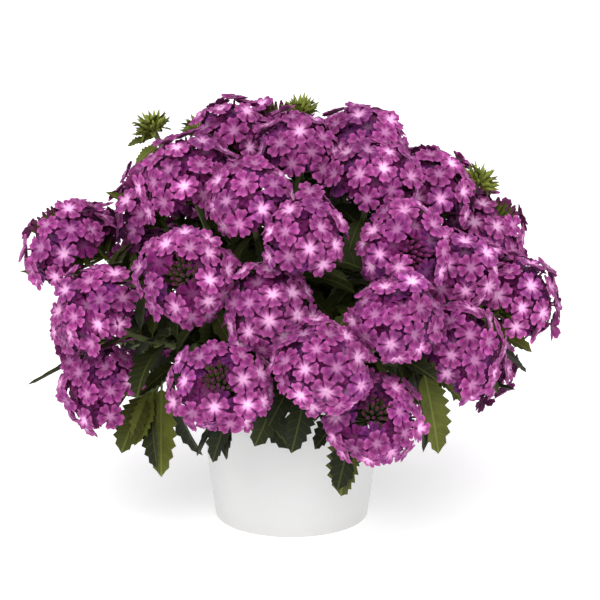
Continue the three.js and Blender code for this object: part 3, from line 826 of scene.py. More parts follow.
def blade_points(rule: GrowthRule, leaf: Leaf, share: Array, across: Array) -> Array:
    """Points of a blade along its arc, where the fold raises the edges either side of the midrib.

    Args:
        rule: the blade's arc, fold and width.
        leaf: the leaf.
        share: shares of its length.
        across: shares of its half-width, one for each share.

    Returns:
        Points in millimetres, shape (n, 3).
    """
    middle, top, aside = (part[0] for part in blade_arc(rule, [leaf], share))
    out = (across * rule.leaf_spread * leaf.length)[:, None]
    return middle + out * aside + rule.leaf_fold * np.abs(out) * top


@dataclass
class Shell:
    """Closed surfaces built ring by ring, with what their finishes read at each point."""

    points: Array
    quads: Array
    tris: Array
    uv: Array
    tone: Array
    under: Array


def surface_map(across: Array, along: Array) -> Array:
    """The map of a grid: each point's place across and along, as one array's last axis."""
    return np.stack(np.broadcast_arrays(across, along), -1)


def ringed(
    grid: Array, uv: Array, tone: Array, under: Array | float = 0.0
) -> Shell:
    """Closed surfaces from grids of rings, the first and the last ring drawn together in one point.

    Ring k and ring k + 1 are joined by quads and each end is closed by a fan. Faces point outwards
    where the columns run clockwise as seen along the rings' own direction.

    Args:
        grid: points in millimetres, shape (copies, rings, columns, 3).
        uv: places on the surface, of a shape that fits (copies, rings, columns, 2).
        tone: one number for each copy.
        under: 1 on an under side, of a shape that fits (copies, rings, columns).

    Returns:
        One shell with every copy.
    """
    copies, rings, columns = grid.shape[:3]
    keep = np.zeros((rings, columns), bool)
    keep[1:-1] = True
    keep[[0, -1], 0] = True
    index = np.zeros((rings, columns), int)
    index[1:-1] = 1 + np.arange((rings - 2) * columns).reshape(rings - 2, columns)
    index[-1] = index[-2, -1] + 1
    after = np.roll(index, -1, axis=1)
    quads = np.stack([index[1:-2], index[2:-1], after[2:-1], after[1:-2]], -1).reshape(-1, 4)
    first = np.stack([index[0], index[1], after[1]], -1)
    last = np.stack([index[-2], index[-1], after[-2]], -1)
    tris = np.concatenate([first, last])
    step = (int(index[-1, 0]) + 1) * np.arange(copies)[:, None, None]
    shape = (copies, rings, columns)
    return Shell(
        grid[:, keep].reshape(-1, 3) * MM,
        (quads + step).reshape(-1, 4),
        (tris + step).reshape(-1, 3),
        np.broadcast_to(uv, (*shape, 2))[:, keep].reshape(-1, 2),
        np.repeat(tone, keep.sum()),
        np.broadcast_to(under, shape)[:, keep].ravel(),
    )


def joined(shells: Iterable[Shell]) -> Shell:
    """Several shells as one: faces are numbered on from the points before them.

    Args:
        shells: the shells.

    Returns:
        The shell of all of them.
    """
    parts = list(shells)
    starts = np.cumsum([0] + [len(part.points) for part in parts[:-1]])
    moved = [
        replace(part, quads=part.quads + start, tris=part.tris + start)
        for part, start in zip(parts, starts)
    ]
    return Shell(*(np.concatenate([getattr(p, row.name) for p in moved]) for row in fields(Shell)))


def make_piece(
    name: str,
    shell: Shell,
    material: Material,
    replaced: Sequence[str] = (),
    crease: float = 75,
) -> bpy.types.Object:
    """Turn a shell into a piece of the scene.

    Args:
        name: the piece's name.
        shell: its surface.
        material: its finish.
        replaced: the solids that it stands for.
        crease: edges sharper than this many degrees stay sharp.

    Returns:
        The piece, riding on the root.
    """
    mesh = bpy.data.meshes.new(name)
    corners = np.concatenate([shell.quads.ravel(), shell.tris.ravel()])
    sizes = np.concatenate([np.full(len(shell.quads), 4), np.full(len(shell.tris), 3)])
    mesh.vertices.add(len(shell.points))
    mesh.vertices.foreach_set("co", shell.points.ravel())
    mesh.loops.add(len(corners))
    mesh.loops.foreach_set("vertex_index", corners)
    mesh.polygons.add(len(sizes))
    mesh.polygons.foreach_set("loop_start", np.cumsum(sizes) - sizes)
    mesh.uv_layers.new(name="surface").data.foreach_set("uv", shell.uv[corners].ravel())
    for key, values in (("tone", shell.tone), ("under", shell.under)):
        mesh.attributes.new(key, "FLOAT", "POINT").data.foreach_set("value", values.astype(float))
    mesh.update(calc_edges=True)
    mesh.polygons.foreach_set("use_smooth", np.ones(len(sizes), bool))
    mesh.set_sharp_from_angle(angle=math.radians(crease))
    mesh.materials.append(material)
    piece = bpy.data.objects.new(name, mesh)
    bpy.context.scene.collection.objects.link(piece)
    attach(piece, ROOT)
    if replaced:
        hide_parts(*replaced)
    log.info("%s: %d faces", name, len(sizes))
    return piece


@dataclass(frozen=True)
class FloretShape:
    """A floret's flat face: five notched lobes round a throat, in millimetres and shares."""

    radius: float = 8.3
    lobes: int = 5
    columns: tuple[float, ...] = (-36, -28, -13, 0, 13, 28)
    outline: tuple[float, ...] = (0.48, 0.92, 1.03, 0.9, 1.03, 0.92)
    rows: tuple[float, ...] = (0, 0.45, 1.0, 0)
    lobes_from: Pair = (0.1, 0.8)
    top_rows: int = 3
    throat: float = 0.26
    curl: float = 0.13
    arch: float = 0.15
    curl_range: Pair = (0.2, 1.8)
    groove: float = 0.06
    ruffle: float = 0.07
    waves: int = 3
    lobe_tilt: float = 0.17
    lobe_change: float = 0.08
    skin: float = 0.06

    def surface(
        self,
        middles: Array,
        normals: Array,
        sizes: Array,
        tone: Array,
        random: Generator,
    ) -> Shell:
        """Florets at given places.

        Each is a grid of columns round the throat and rows outwards and back under. A column's
        reach is its share of the lobe outline. Height falls with the cube of the distance out (the
        curl) and with the square of the place across a lobe (the arch), dips along a lobe's middle
        and follows three slow waves round the rim. Every lobe has its own tilt and length.

        Args:
            middles: centres of the throats, shape (n, 3).
            normals: the ways the florets face, shape (n, 3).
            sizes: radii as shares of the usual one, shape (n,).
            tone: one number for each floret's colour, low for the shaded ones.
            random: seeded numbers.

        Returns:
            One shell with every floret.
        """
        count = len(middles)
        half = 180 / self.lobes
        across = np.tile(np.array(self.columns) / half, self.lobes)
        lobe = np.repeat(np.arange(self.lobes), len(self.columns))
        angle = np.radians(half * (across + 2 * lobe))
        out = np.array(self.rows)[:, None]
        start, end = self.lobes_from
        blend = np.clip((out - start) / (end - start), 0, 1)
        reach = out * (1 + (np.tile(self.outline, self.lobes) - 1) * blend)
        middle = 1 - across**2
        longer = random.uniform(-self.lobe_change, self.lobe_change, (count, self.lobes))
        tilt = random.uniform(-self.lobe_tilt, self.lobe_tilt, (count, self.lobes))
        curl = random.uniform(*self.curl_range, (count, 1, 1))
        phase, spin = random.uniform(0, FULL_TURN, (2, count, 1, 1))
        reach = reach * (1 + (longer[:, lobe] * middle)[:, None, :])
        height = -self.arch * out * across**2 - self.groove * out * (across == 0)
        height = height - self.curl * curl * out**3 + (tilt[:, lobe] * middle)[:, None, :] * out
        height = height + self.ruffle * out**2 * np.sin(self.waves * angle + phase)
        height[:, 0] = -self.throat
        height[:, self.top_rows:] = -self.throat - self.skin
        size = (self.radius * sizes)[:, None, None]
        middles, normals, u, v = (
            w[:, None, None] for w in (middles, normals, *cross_frame(normals))
        )
        grid = middles + across_axis(size * reach, angle + spin, u, v)
        grid = grid + (size * height)[..., None] * normals
        under = np.zeros((len(self.rows), 1))
        under[self.top_rows:] = 1
        return ringed(grid, surface_map(np.abs(across), out), tone, under)


def tubes(
    starts: Array, ends: Array, profile: Profile, sides: int, tone: Array
) -> Shell:
    """Straight tubes of a turned profile: at each share of the way a ring of the profile's radius.

    Args:
        starts: first points, shape (n, 3).
        ends: last points, shape (n, 3).
        profile: their section, with radii in millimetres.
        sides: faces round.
        tone: one number for each tube.

    Returns:
        One shell with every tube.
    """
    u, v = cross_frame(unit(ends - starts))
    share, radius = np.array(profile).T
    angle = -FULL_TURN * np.arange(sides) / sides
    ring = across_axis(1, angle, u[:, None], v[:, None])
    middle = starts[:, None, :] + share[None, :, None] * (ends - starts)[:, None, :]
    grid = middle[:, :, None, :] + radius[None, :, None, None] * ring[:, None, :, :]
    return ringed(grid, surface_map(np.abs(np.cos(angle / 2)), share[:, None]), tone)


@dataclass(frozen=True)
class FloretLayer:
    """One storey of florets in a head.

    Crowding is their number as a share of the room for them, drop how far they stand below the
    dome, jitter how much that changes, tilt how much they lean about and tones the range of their
    colour, where low tones are painted shade.
    """

    crowding: float
    drop: float
    jitter: float
    tilt: float
    tones: Pair


@dataclass(frozen=True)
class HeadShape:
    """How florets stand in a head: shares of its radius, degrees and millimetres.

    A root is the place on the spike where a floret's tube starts: how far below the head's middle,
    how much of that a floret on the axis gains, and how far out.
    """

    spread: float = 1.05
    lowest: float = 106
    # The upper storey, and the lower one, whose low tones give it painted shade
    layers: tuple[FloretLayer, ...] = (
        FloretLayer(0.84, 1.6, 1.8, 0.34, (0.3, 1.0)),
        FloretLayer(0.85, 7.6, 0.5, 0.16, (0.0, 0.25)),
    )
    stretch: float = 0.16
    lift: float = 0.35
    size_jitter: float = 0.1
    root_depth: float = 0.42
    root_rise: float = 0.4
    root_out: float = 0.05
    florets: FloretShape = FloretShape()
    calyx: Profile = (
        (0, 0), (0.02, 0.55), (0.3, 1.15), (0.66, 1.3), (0.68, 0.75), (0.93, 0.7), (1, 0),
    )
    calyx_sides: int = 5
    bud_cap: float = 29
    bud_count: int = 22
    bud_crowding: float = 0.8
    bud_heights: Pair = (0.82, 0.96)
    bud_tones: Pair = (0, 0.9)
    green_tone: float = 1.2
    bud: Profile = (
        (0, 0), (0.03, 0.7), (0.35, 1.0), (0.6, 0.95), (0.85, 1.25), (0.97, 0.8), (1, 0),
    )
    bud_sides: int = 6
    spike: Profile = ((0, 0), (0.02, 1.9), (0.5, 1.6), (0.9, 1.2), (1, 0))
    spike_top: float = 0.35
    spike_sides: int = 8

    def build(self, head: Head, crown: Array, seed: int) -> tuple[Shell, Shell]:
        """A head's petals, and its green parts.

        The florets stand in two storeys, and the lower ones show between the upper. Each has a
        tube that starts on the spike in the head's middle.

        Args:
            head: the head.
            crown: the way its middle faces.
            seed: the start of its random numbers.

        Returns:
            The shell of the florets, and that of the calyces, buds and spike.
        """
        random = np.random.default_rng(seed)
        longer = unit(random.normal(0, 1, 3))
        storeys = [self.storey(head, crown, longer, layer, random) for layer in self.layers]
        middles, facing, roots, tone = (np.concatenate(parts) for parts in zip(*storeys))
        sizes = 1 + self.size_jitter * random.uniform(-1, 1, len(middles))
        petals = self.florets.surface(middles, facing, sizes, tone, random)
        necks = middles - (self.florets.throat * self.florets.radius * sizes)[:, None] * facing
        greens = [tubes(roots, necks, self.calyx, self.calyx_sides, tone)]
        top = head.centre + self.spike_top * self.radius(head) * head.axis
        greens.append(tubes(head.seat[None], top[None], self.spike, self.spike_sides, tone[:1]))
        if head.stage is not Stage.OPEN:
            greens.append(self.buds(head, crown, random))
        return petals, joined(greens)

    def radius(self, head: Head) -> float:
        """How far the florets of a head reach from its middle."""
        return 0.5 * head.width * self.spread

    def storey(
        self,
        head: Head,
        crown: Array,
        longer: Array,
        layer: FloretLayer,
        random: Generator,
    ) -> tuple[Array, Array, Array, Array]:
        """Where the florets of one storey stand.

        Directions follow the sunflower rule: each floret is turned by the golden angle from the
        one before, and the cosine of its angle from the axis falls evenly, which gives each the
        same room on the dome. The dome is longer one way, by the square of the cosine to it less
        a third, its mean.

        Args:
            head: the head.
            crown: the way its middle faces.
            longer: the way it is longer.
            layer: the storey.
            random: seeded numbers.

        Returns:
            Middles, the ways they face, roots and tones.
        """
        radius = self.radius(head)
        cap = 0 if head.stage is Stage.OPEN else self.bud_cap
        span = math.cos(math.radians(cap)) - math.cos(math.radians(self.lowest))
        count = round(layer.crowding * 2 * span * (radius / self.florets.radius) ** 2)
        out = fan(crown, count, cap, self.lowest, random)
        oval = 1 + self.stretch * ((out @ longer) ** 2 - 1 / 3)
        high = radius * oval - layer.drop + layer.jitter * random.uniform(-1, 1, count)
        middles = head.centre + high[:, None] * out
        roots = self.roots(head, out)
        facing = unit(middles - roots) + out + self.lift * crown
        facing = unit(facing + random.normal(0, layer.tilt, (count, 3)))
        return middles, facing, roots, random.uniform(*layer.tones, count)

    def roots(self, head: Head, out: Array) -> Array:
        """Where tubes start on the spike: the further a floret leans out, the lower its root.

        Args:
            head: the head.
            out: the ways the florets stand from its middle, shape (n, 3).

        Returns:
            The roots, shape (n, 3).
        """
        radius = self.radius(head)
        lean = out @ head.axis
        flat = out - lean[:, None] * head.axis
        below = (self.root_depth - self.root_rise * lean) * radius
        return head.centre - below[:, None] * head.axis + self.root_out * radius * flat

    def buds(self, head: Head, crown: Array, random: Generator) -> Shell:
        """Closed buds in the middle of a young head, spread as the florets are but closer.

        Args:
            head: the head.
            crown: the way its middle faces.
            random: seeded numbers.

        Returns:
            The buds' shell, with tones over 1 for green ones.
        """
        count = self.bud_count
        out = fan(crown, count, 0, self.bud_crowding * self.bud_cap, random)
        heights = self.radius(head) * random.uniform(*self.bud_heights, count)
        ends = head.centre + heights[:, None] * out
        green = self.green_tone * (head.stage is Stage.BUDDING)
        tone = random.uniform(*self.bud_tones, count) + green
        return tubes(self.roots(head, out), ends, self.bud, self.bud_sides, tone)


@dataclass(frozen=True)
class BladeShape:
    """A toothed blade: shares of its length and half-width, and millimetres on the usual leaf."""

    petiole: tuple[float, ...] = (0.02, 0.09)
    petiole_width: float = 0.1
    first: float = 0.14
    last: float = 0.93
    fullness: float = 0.65
    tooth_lean: float = 0.66
    valley: float = 0.73
    quilt: float = 0.5
    quilt_sink: float = 0.3
    edge_wave: float = 0.7
    wave_count: float = 2.5
    thickness: float = 0.4
    rib: float = 0.7
    rib_above: float = 0.2
    light_change: Pair = (-0.15, 0.25)

    def surface(
        self, rule: GrowthRule, leaves: Sequence[Leaf], teeth: int, random: Generator
    ) -> Shell:
        """Leaves with waved, toothed edges.

        A leaf is a row of six-cornered rings along the same arc as its solid's: five corners
        across the upper side and one below. The half-width is the sine of pi times the share, to
        the power of the fullness, cut back between teeth. Veins lie low, and the blade bulges
        between them.

        Args:
            rule: the arc, the fold and the width.
            leaves: the leaves.
            teeth: teeth on each edge.
            random: seeded numbers.

        Returns:
            One shell with every leaf.
        """
        pitch = (self.last - self.first) / teeth
        valleys = self.first + pitch * np.arange(teeth + 1)
        tips = valleys[:-1] + self.tooth_lean * pitch
        body = np.sort(np.concatenate([valleys, tips]))
        share = np.concatenate([[0], self.petiole, body, [1]])
        is_tip = np.isin(share, tips).astype(float)
        is_body = ((share >= self.first) & (share < 1)).astype(float)
        width = np.sin(math.pi * np.minimum(share, 1 - SLIVER)) ** self.fullness * is_body
        width = width + self.petiole_width * (1 - is_body) * (share > 0) * (share < 1)
        edge = width * (self.valley + (1 - self.valley) * is_tip)
        inner = width * 0.5 * (1 + self.valley) / 2
        across = np.stack([edge, inner, 0 * edge, -inner, -edge, 0 * edge], -1)
        lower = np.array([0, 0, 0, 0, 0, 1.0])
        middle_column = np.array([0, 0, 1, 0, 0, 1.0])
        side_column = np.array([0, 1, 0, 1, 0, 0.0])
        lift = self.quilt * side_column * ((1 - is_tip) * is_body - self.quilt_sink)[:, None]
        rib = self.rib * middle_column * (self.rib_above + (1 - self.rib_above) * lower)
        lift = lift - self.thickness * lower - rib
        lift[[0, -1]] = -0.5 * self.thickness
        count = len(leaves)
        length = np.array([leaf.length for leaf in leaves])[:, None, None]
        broad = np.array([leaf.breadth for leaf in leaves])[:, None, None]
        phase = self.wave_count * share + random.uniform(0, 1, (count, 1))
        lean = self.edge_wave * np.sin(FULL_TURN * phase) + random.uniform(-1, 1, (count, 1))
        middle, top, aside = blade_arc(rule, leaves, share)
        out = across * rule.leaf_spread * length * broad
        rise = rule.leaf_fold * np.abs(out) + lift * length / rule.leaf_length
        rise = rise + lean[..., None] * across**2
        grid = middle[:, :, None] + out[..., None] * aside[:, :, None]
        grid = grid + rise[..., None] * top[:, :, None]
        uv = surface_map(0.5 + 0.5 * across, share[:, None])
        # Each leaf's tone: how light it is painted, from painted shade to painted light, changed a
        # little at random
        light = np.array([leaf.light for leaf in leaves]) + random.uniform(*self.light_change, count)
        return ringed(grid, uv, np.clip(light, 0, 1), lower[None])


@dataclass(frozen=True)
class StemShape:
    """Rounded square stems, a little thicker where leaves grow."""

    corner: tuple[float, ...] = (0.78, 1.0)
    sides: int = 8
    rings: int = 15
    swelling: float = 0.35
    swelling_width: float = 0.03

    def surface(self, rule: GrowthRule, pot: PotSizes, stem: Stem, tone: float) -> Shell:
        """One stem: rings along its curve whose radius alternates between corners and flats.

        Args:
            rule: radii and the foot's depth.
            pot: the height of the soil.
            stem: the stem.
            tone: one number for its finish.

        Returns:
            Its shell.
        """
        shares = [whorl.share for whorl in WHORLS if whorl.on_trunk == (stem.head is None)]
        steps = np.unique(np.concatenate([np.linspace(0, 1, self.rings), shares]))
        points, _, u, v = stem.frame_at(steps)
        radius = np.full(len(steps), stem.radius)
        for share in shares:
            radius *= 1 + self.swelling * np.exp(-(((steps - share) / self.swelling_width) ** 2))
        if stem.head is None:
            foot = points[0] * [1, 1, 0] + [0, 0, pot.soil_top - rule.depth]
            points = np.concatenate([[foot], points])
            radius = np.concatenate([[rule.foot_radius], radius])
            u, v = (np.concatenate([w[:1], w]) for w in (u, v))
        angle = -FULL_TURN * np.arange(self.sides) / self.sides
        ring = across_axis(np.tile(self.corner, self.sides // 2), angle, u[:, None], v[:, None])
        body = points[:, None, :] + radius[:, None, None] * ring
        ends = np.repeat(points[[0, -1], None, :], self.sides, axis=1)
        grid = np.concatenate([ends[:1], body, ends[1:]])[None]
        along = np.linspace(0, 1, grid.shape[1])[:, None]
        return ringed(grid, surface_map(np.abs(np.cos(2 * angle)), along), np.array([tone]))


Colour = tuple[float, float, float, float]
WHITE: Colour = (1.0, 1.0, 1.0, 1.0)
# The second noise of a mottled surface: how much finer it is, its share, and the mean of both
FINER, FINE_SHARE, MOTTLE_MEAN = 4.3, 0.5, 0.75
# How far apart seeded lines start
SEED_APART = 37.0


def srgb(red: int, green: int, blue: int) -> Colour:
    """A colour given as it looks on a screen, 0 to 255, turned into linear light.

    Args:
        red: its red.
        green: its green.
        blue: its blue.

    Returns:
        The colour, which hides all behind it.
    """
    parts = [c / 255 for c in (red, green, blue)]
    linear = [c / 12.92 if c <= 0.04045 else ((c + 0.055) / 1.055) ** 2.4 for c in parts]
    return (*linear, 1.0)


class Wiring:
    """Short ways to add shader nodes to one tree and link them."""

    def __init__(self, tree: bpy.types.NodeTree) -> None:
        """Wire a tree."""
        self.tree = tree

    def fill(self, node: bpy.types.Node, feeds: dict[str | int, object]) -> None:
        """Link some of a node's sockets, or set them to values.

        Args:
            node: the node.
            feeds: what goes in, under each socket's name or number.
        """
        for key, value in feeds.items():
            if isinstance(value, Socket):
                self.tree.links.new(value, node.inputs[key])
            else:
                node.inputs[key].default_value = value

    def node(
        self, kind: str, feeds: dict[str | int, object] | None = None, **settings: object
    ) -> bpy.types.Node:
        """Add a node.

        Args:
            kind: its kind.
            feeds: what goes into its sockets.
            settings: its settings.

        Returns:
            The node.
        """
        node = self.tree.nodes.new(kind)
        for key, value in settings.items():
            setattr(node, key, value)
        self.fill(node, feeds or {})
        return node

    def math(self, operation: str, *values: object, clamp: bool = False) -> Socket:
        """The result of a sum on one to three numbers or sockets."""
        feeds = dict(enumerate(values))
        return self.node("ShaderNodeMath", feeds, operation=operation, use_clamp=clamp).outputs[0]

    def times(self, a: object, b: object) -> Socket:
        """One number times another."""
        return self.math("MULTIPLY", a, b)

    def line(self, a: object, b: object, c: object) -> Socket:
        """The first number times the second, plus the third."""
        return self.math("MULTIPLY_ADD", a, b, c)

    def step(self, value: object, low: object, high: object) -> Socket:
        """A soft step from 0 at low to 1 at high."""
        feeds = {"Value": value, "From Min": low, "From Max": high}
        return self.node("ShaderNodeMapRange", feeds, interpolation_type="SMOOTHSTEP").outputs[0]

    def mix(self, factor: object, a: object, b: object, blend: str = "MIX") -> Socket:
        """Two colours mixed by a factor."""
        feeds = {0: factor, 6: a, 7: b}
        return self.node("ShaderNodeMix", feeds, data_type="RGBA", blend_type=blend).outputs[2]

    def ramp(self, factor: object, *stops: tuple[float, Colour]) -> Socket:
        """A colour read off a row of stops.

        Args:
            factor: the place on the row.
            stops: places with their colours, two or more.

        Returns:
            The colour.
        """
        node = self.node("ShaderNodeValToRGB", {0: factor})
        elements = node.color_ramp.elements
        for place, _ in stops[2:]:
            elements.new(place)
        for element, (place, colour) in zip(elements, sorted(stops)):
            element.position, element.color = place, colour
        return node.outputs["Color"]

    def noise(self, place: object, scale: object, detail: float = 2.0) -> Socket:
        """Soft noise from 0 to 1."""
        feeds = {"Vector": place, "Scale": scale, "Detail": detail}
        return self.node("ShaderNodeTexNoise", feeds).outputs[0]

    def place(self) -> Socket:
        """The point's place on the object, in metres."""
        return self.node("ShaderNodeTexCoord").outputs["Object"]

    def parts(self, vector: object) -> bpy.types.bpy_prop_collection:
        """The three numbers of a vector."""
        return self.node("ShaderNodeSeparateXYZ", {0: vector}).outputs

    def surface(self) -> tuple[Socket, Socket]:
        """The two numbers of the piece's own map."""
        across, along, _ = self.parts(self.node("ShaderNodeUVMap", uv_map="surface").outputs[0])
        return across, along

    def grey(self, value: object) -> Socket:
        """A number as a grey."""
        return self.node("ShaderNodeCombineColor", {0: value, 1: value, 2: value}).outputs[0]

    def shaded(self, colour: object, factor: object) -> Socket:
        """A colour made lighter or darker by a factor."""
        return self.mix(1.0, colour, self.grey(factor), "MULTIPLY")

    def attribute(self, name: str) -> Socket:
        """A number kept at each point of the piece."""
        return self.node("ShaderNodeAttribute", attribute_name=name).outputs["Fac"]

    def vector(self, x: object, y: object, z: object) -> Socket:
        """Three numbers as a vector."""
        return self.node("ShaderNodeCombineXYZ", {0: x, 1: y, 2: z}).outputs[0]

    def bump(self, height: object, strength: float, distance: float) -> Socket:
        """A normal bent by a height, in metres at the given distance."""
        feeds = {"Height": height, "Strength": strength, "Distance": distance}
        return self.node("ShaderNodeBump", feeds).outputs[0]

    def mottle(self, place: object, scale: float, strength: float) -> tuple[Socket, ...]:
        """The shared effect of uneven growth: a factor round 1, and a height."""
        feeds = {"Place": place, "Scale": scale, "Strength": strength}
        return tuple(self.node("ShaderNodeGroup", feeds, node_tree=mottle()).outputs)

    def fibres(self, across: object, along: object, seed: object, count: float) -> Socket:
        """The shared effect of fine lines along a surface, from 0 to 1."""
        feeds = {"Across": across, "Along": along, "Seed": seed, "Count": count}
        return self.node("ShaderNodeGroup", feeds, node_tree=fibres()).outputs[0]


def shared_effect(name: str, inputs: dict[str, str], outputs: dict[str, str]) -> tuple[Wiring, bool]:
    """A shader node group with named sockets, made the first time it is asked for.

    Args:
        name: the group's name.
        inputs: input names with their socket types.
        outputs: output names with their socket types.

    Returns:
        The group's wiring, and whether it is new and still has to be filled.
    """
    known = bpy.data.node_groups.get(name)
    if known:
        return Wiring(known), False
    tree = bpy.data.node_groups.new(name, "ShaderNodeTree")
    for way, sockets in (("INPUT", inputs), ("OUTPUT", outputs)):
        for key, kind in sockets.items():
            tree.interface.new_socket(key, in_out=way, socket_type=f"NodeSocket{kind}")
    return Wiring(tree), True


def mottle() -> bpy.types.NodeTree:
    """Uneven growth: a factor round 1 from soft noise at two scales, and the finer noise as height.

    Returns:
        The node group.
    """
    w, new = shared_effect(
        "mottle",
        {"Place": "Vector", "Scale": "Float", "Strength": "Float"},
        {"Factor": "Float", "Height": "Float"},
    )
    if new:
        given = w.node("NodeGroupInput").outputs
        result = w.node("NodeGroupOutput")
        broad = w.noise(given["Place"], given["Scale"])
        fine = w.noise(given["Place"], w.times(given["Scale"], FINER), detail=4.0)
        both = w.line(fine, FINE_SHARE, w.math("SUBTRACT", broad, MOTTLE_MEAN))
        w.fill(result, {"Factor": w.line(both, given["Strength"], 1.0), "Height": fine})
    return w.tree


def fibres() -> bpy.types.NodeTree:
    """Fine lines along a surface: noise stretched along the second number of its map.

    Returns:
        The node group.
    """
    w, new = shared_effect(
        "fibres",
        {"Across": "Float", "Along": "Float", "Seed": "Float", "Count": "Float"},
        {"Line": "Float"},
    )
    if new:
        given = w.node("NodeGroupInput").outputs
        result = w.node("NodeGroupOutput")
        x = w.times(given["Across"], given["Count"])
        z = w.times(given["Seed"], SEED_APART)
        w.fill(result, {"Line": w.noise(w.vector(x, given["Along"], z), scale=1.0, detail=3.0)})
    return w.tree


def new_material(name: str) -> tuple[Material, Wiring, bpy.types.Node]:
    """Make a node material.

    Args:
        name: its name.

    Returns:
        The material, its wiring and its shader.
    """
    material = bpy.data.materials.new(name)
    material.use_nodes = True
    return material, Wiring(material.node_tree), material.node_tree.nodes["Principled BSDF"]


@dataclass(frozen=True)
class PetalFinish:
    """Velvety petals: a pale star round the throat, a bright halo, a magenta body, lighter edges.

    A step's pair of numbers is where it begins and where it is full: the throat, eye, halo and edge
    by the distance out from the throat, the others by the floret's tone. Depth is how strong a mark
    is at its fullest, and bright florets add to the depth of their eye and halo. A range's pair is
    how much it varies and its least value. As in every finish, uneven is the scale and the strength
    of the mottle, and bumps are the strength and the height of the relief.
    """

    throat: Colour = srgb(150, 84, 96)
    throat_step: Pair = (0.15, 0.1)
    eye: Colour = srgb(252, 192, 236)
    eye_step: Pair = (0.54, 0.3)
    eye_depth: Pair = (0.7, 0.25)
    halo: Colour = srgb(236, 150, 214)
    halo_step: Pair = (0.9, 0.3)
    halo_depth: Pair = (0.6, 0.25)
    body: Colour = srgb(119, 20, 97)
    edge: Colour = srgb(168, 80, 144)
    edge_step: Pair = (0.55, 1.0)
    # Violet: a tinge on some florets at random, and the far end of the painted shade
    violet: Colour = srgb(84, 30, 104)
    violet_step: Pair = (0.85, 1.0)
    violet_depth: float = 0.3
    # Painted shade of florets of low tone: a deep magenta that turns violet, and how strongly
    shade_magenta: Colour = srgb(98, 10, 80)
    shade_violet_step: Pair = (0.1, 0.2)
    shade_violet_depth: float = 0.7
    shade_step: Pair = (0.42, 0.2)
    shade_depth: float = 0.8
    back: Colour = srgb(132, 62, 120)
    back_depth: float = 0.85
    veins: float = 9.0
    star_veins: float = 0.14
    star_sides: float = 0.1
    bright_rate: float = 9.0
    bright_step: Pair = (0.4, 0.6)
    fresh_rate: float = 31.0
    fresh_range: Pair = (0.4, 0.8)
    outer_step: Pair = (0.25, 0.5)
    # Painted shade and light across a lobe: darker at the groove and the clefts, lighter on the sides
    lobe_shade_steps: tuple[Pair, Pair] = ((0.0, 0.4), (1.0, 0.6))
    lobe_shade_range: Pair = (0.4, 0.78)
    vein_range: Pair = (0.4, 0.8)
    fold_depths: Pair = (1.6, 0.6)
    uneven: Pair = (130.0, 0.9)
    bumps: Pair = (0.8, 0.0007)

    def material(self) -> Material:
        """Make the material, which reads the place across a lobe and out from the throat.

        Each mark is mixed in by a step of the distance out, moved a little by the veins and by the
        place across. The floret's tone sets how violet, shaded, bright and fresh it is: a low tone
        gives painted shade, a deep magenta turning violet, with the eye and halo dimmed. Across a
        lobe, painted shade darkens the groove and the clefts, and painted light brightens the sides.

        Returns:
            The material.
        """
        material, w, shader = new_material("petal")
        across, out = w.surface()
        tone = w.attribute("tone")
        line = w.fibres(across, out, tone, self.veins)
        star = w.line(line, self.star_veins, w.line(across, self.star_sides, out))
        bright = w.step(w.math("FRACT", w.times(tone, self.bright_rate)), *self.bright_step)
        fresh = w.line(w.math("FRACT", w.times(tone, self.fresh_rate)), *self.fresh_range)
        colour = w.mix(w.step(out, *self.edge_step), self.body, self.edge)
        bluish = w.times(w.step(tone, *self.violet_step), self.violet_depth)
        colour = w.mix(bluish, colour, self.violet)
        # Painted shade: florets of low tone take a deep magenta to violet colour, and their eye and
        # halo are dimmed
        shaded = w.step(tone, *self.shade_step)
        painted_shade = w.mix(w.times(w.step(tone, *self.shade_violet_step), self.shade_violet_depth), self.shade_magenta, self.violet)
        colour = w.mix(w.times(shaded, self.shade_depth), colour, painted_shade)
        unshaded = w.line(shaded, -self.shade_depth, 1.0)
        halo = w.times(w.step(star, *self.halo_step), w.line(bright, *self.halo_depth))
        colour = w.mix(w.times(halo, unshaded), colour, self.halo)
        eye = w.times(w.step(star, *self.eye_step), w.line(bright, *self.eye_depth))
        colour = w.mix(w.times(eye, unshaded), colour, self.eye)
        colour = w.mix(w.step(star, *self.throat_step), colour, self.throat)
        colour = w.mix(w.times(w.attribute("under"), self.back_depth), colour, self.back)
        outer = w.step(out, *self.outer_step)
        patch, rough = w.mottle(w.place(), *self.uneven)
        # Painted shade and light across each lobe, out past the throat: darker along the groove and at
        # the clefts, lighter on the sides
        rising, falling = (w.step(across, *pair) for pair in self.lobe_shade_steps)
        lobe = w.line(w.times(rising, falling), *self.lobe_shade_range)
        relief = w.mix(outer, WHITE, w.grey(lobe))
        veined = w.times(w.times(patch, w.line(line, *self.vein_range)), fresh)
        colour = w.mix(1.0, colour, relief, "MULTIPLY")
        folds = w.line(rough, self.fold_depths[0], w.times(line, self.fold_depths[1]))
        w.fill(shader, {
            "Base Color": w.shaded(colour, veined),
            "Roughness": 0.6,
            "Specular IOR Level": 0.1,
            "Sheen Weight": 0.04,
            "Sheen Roughness": 0.4,
            "Normal": w.bump(folds, *self.bumps),
        })
        return material


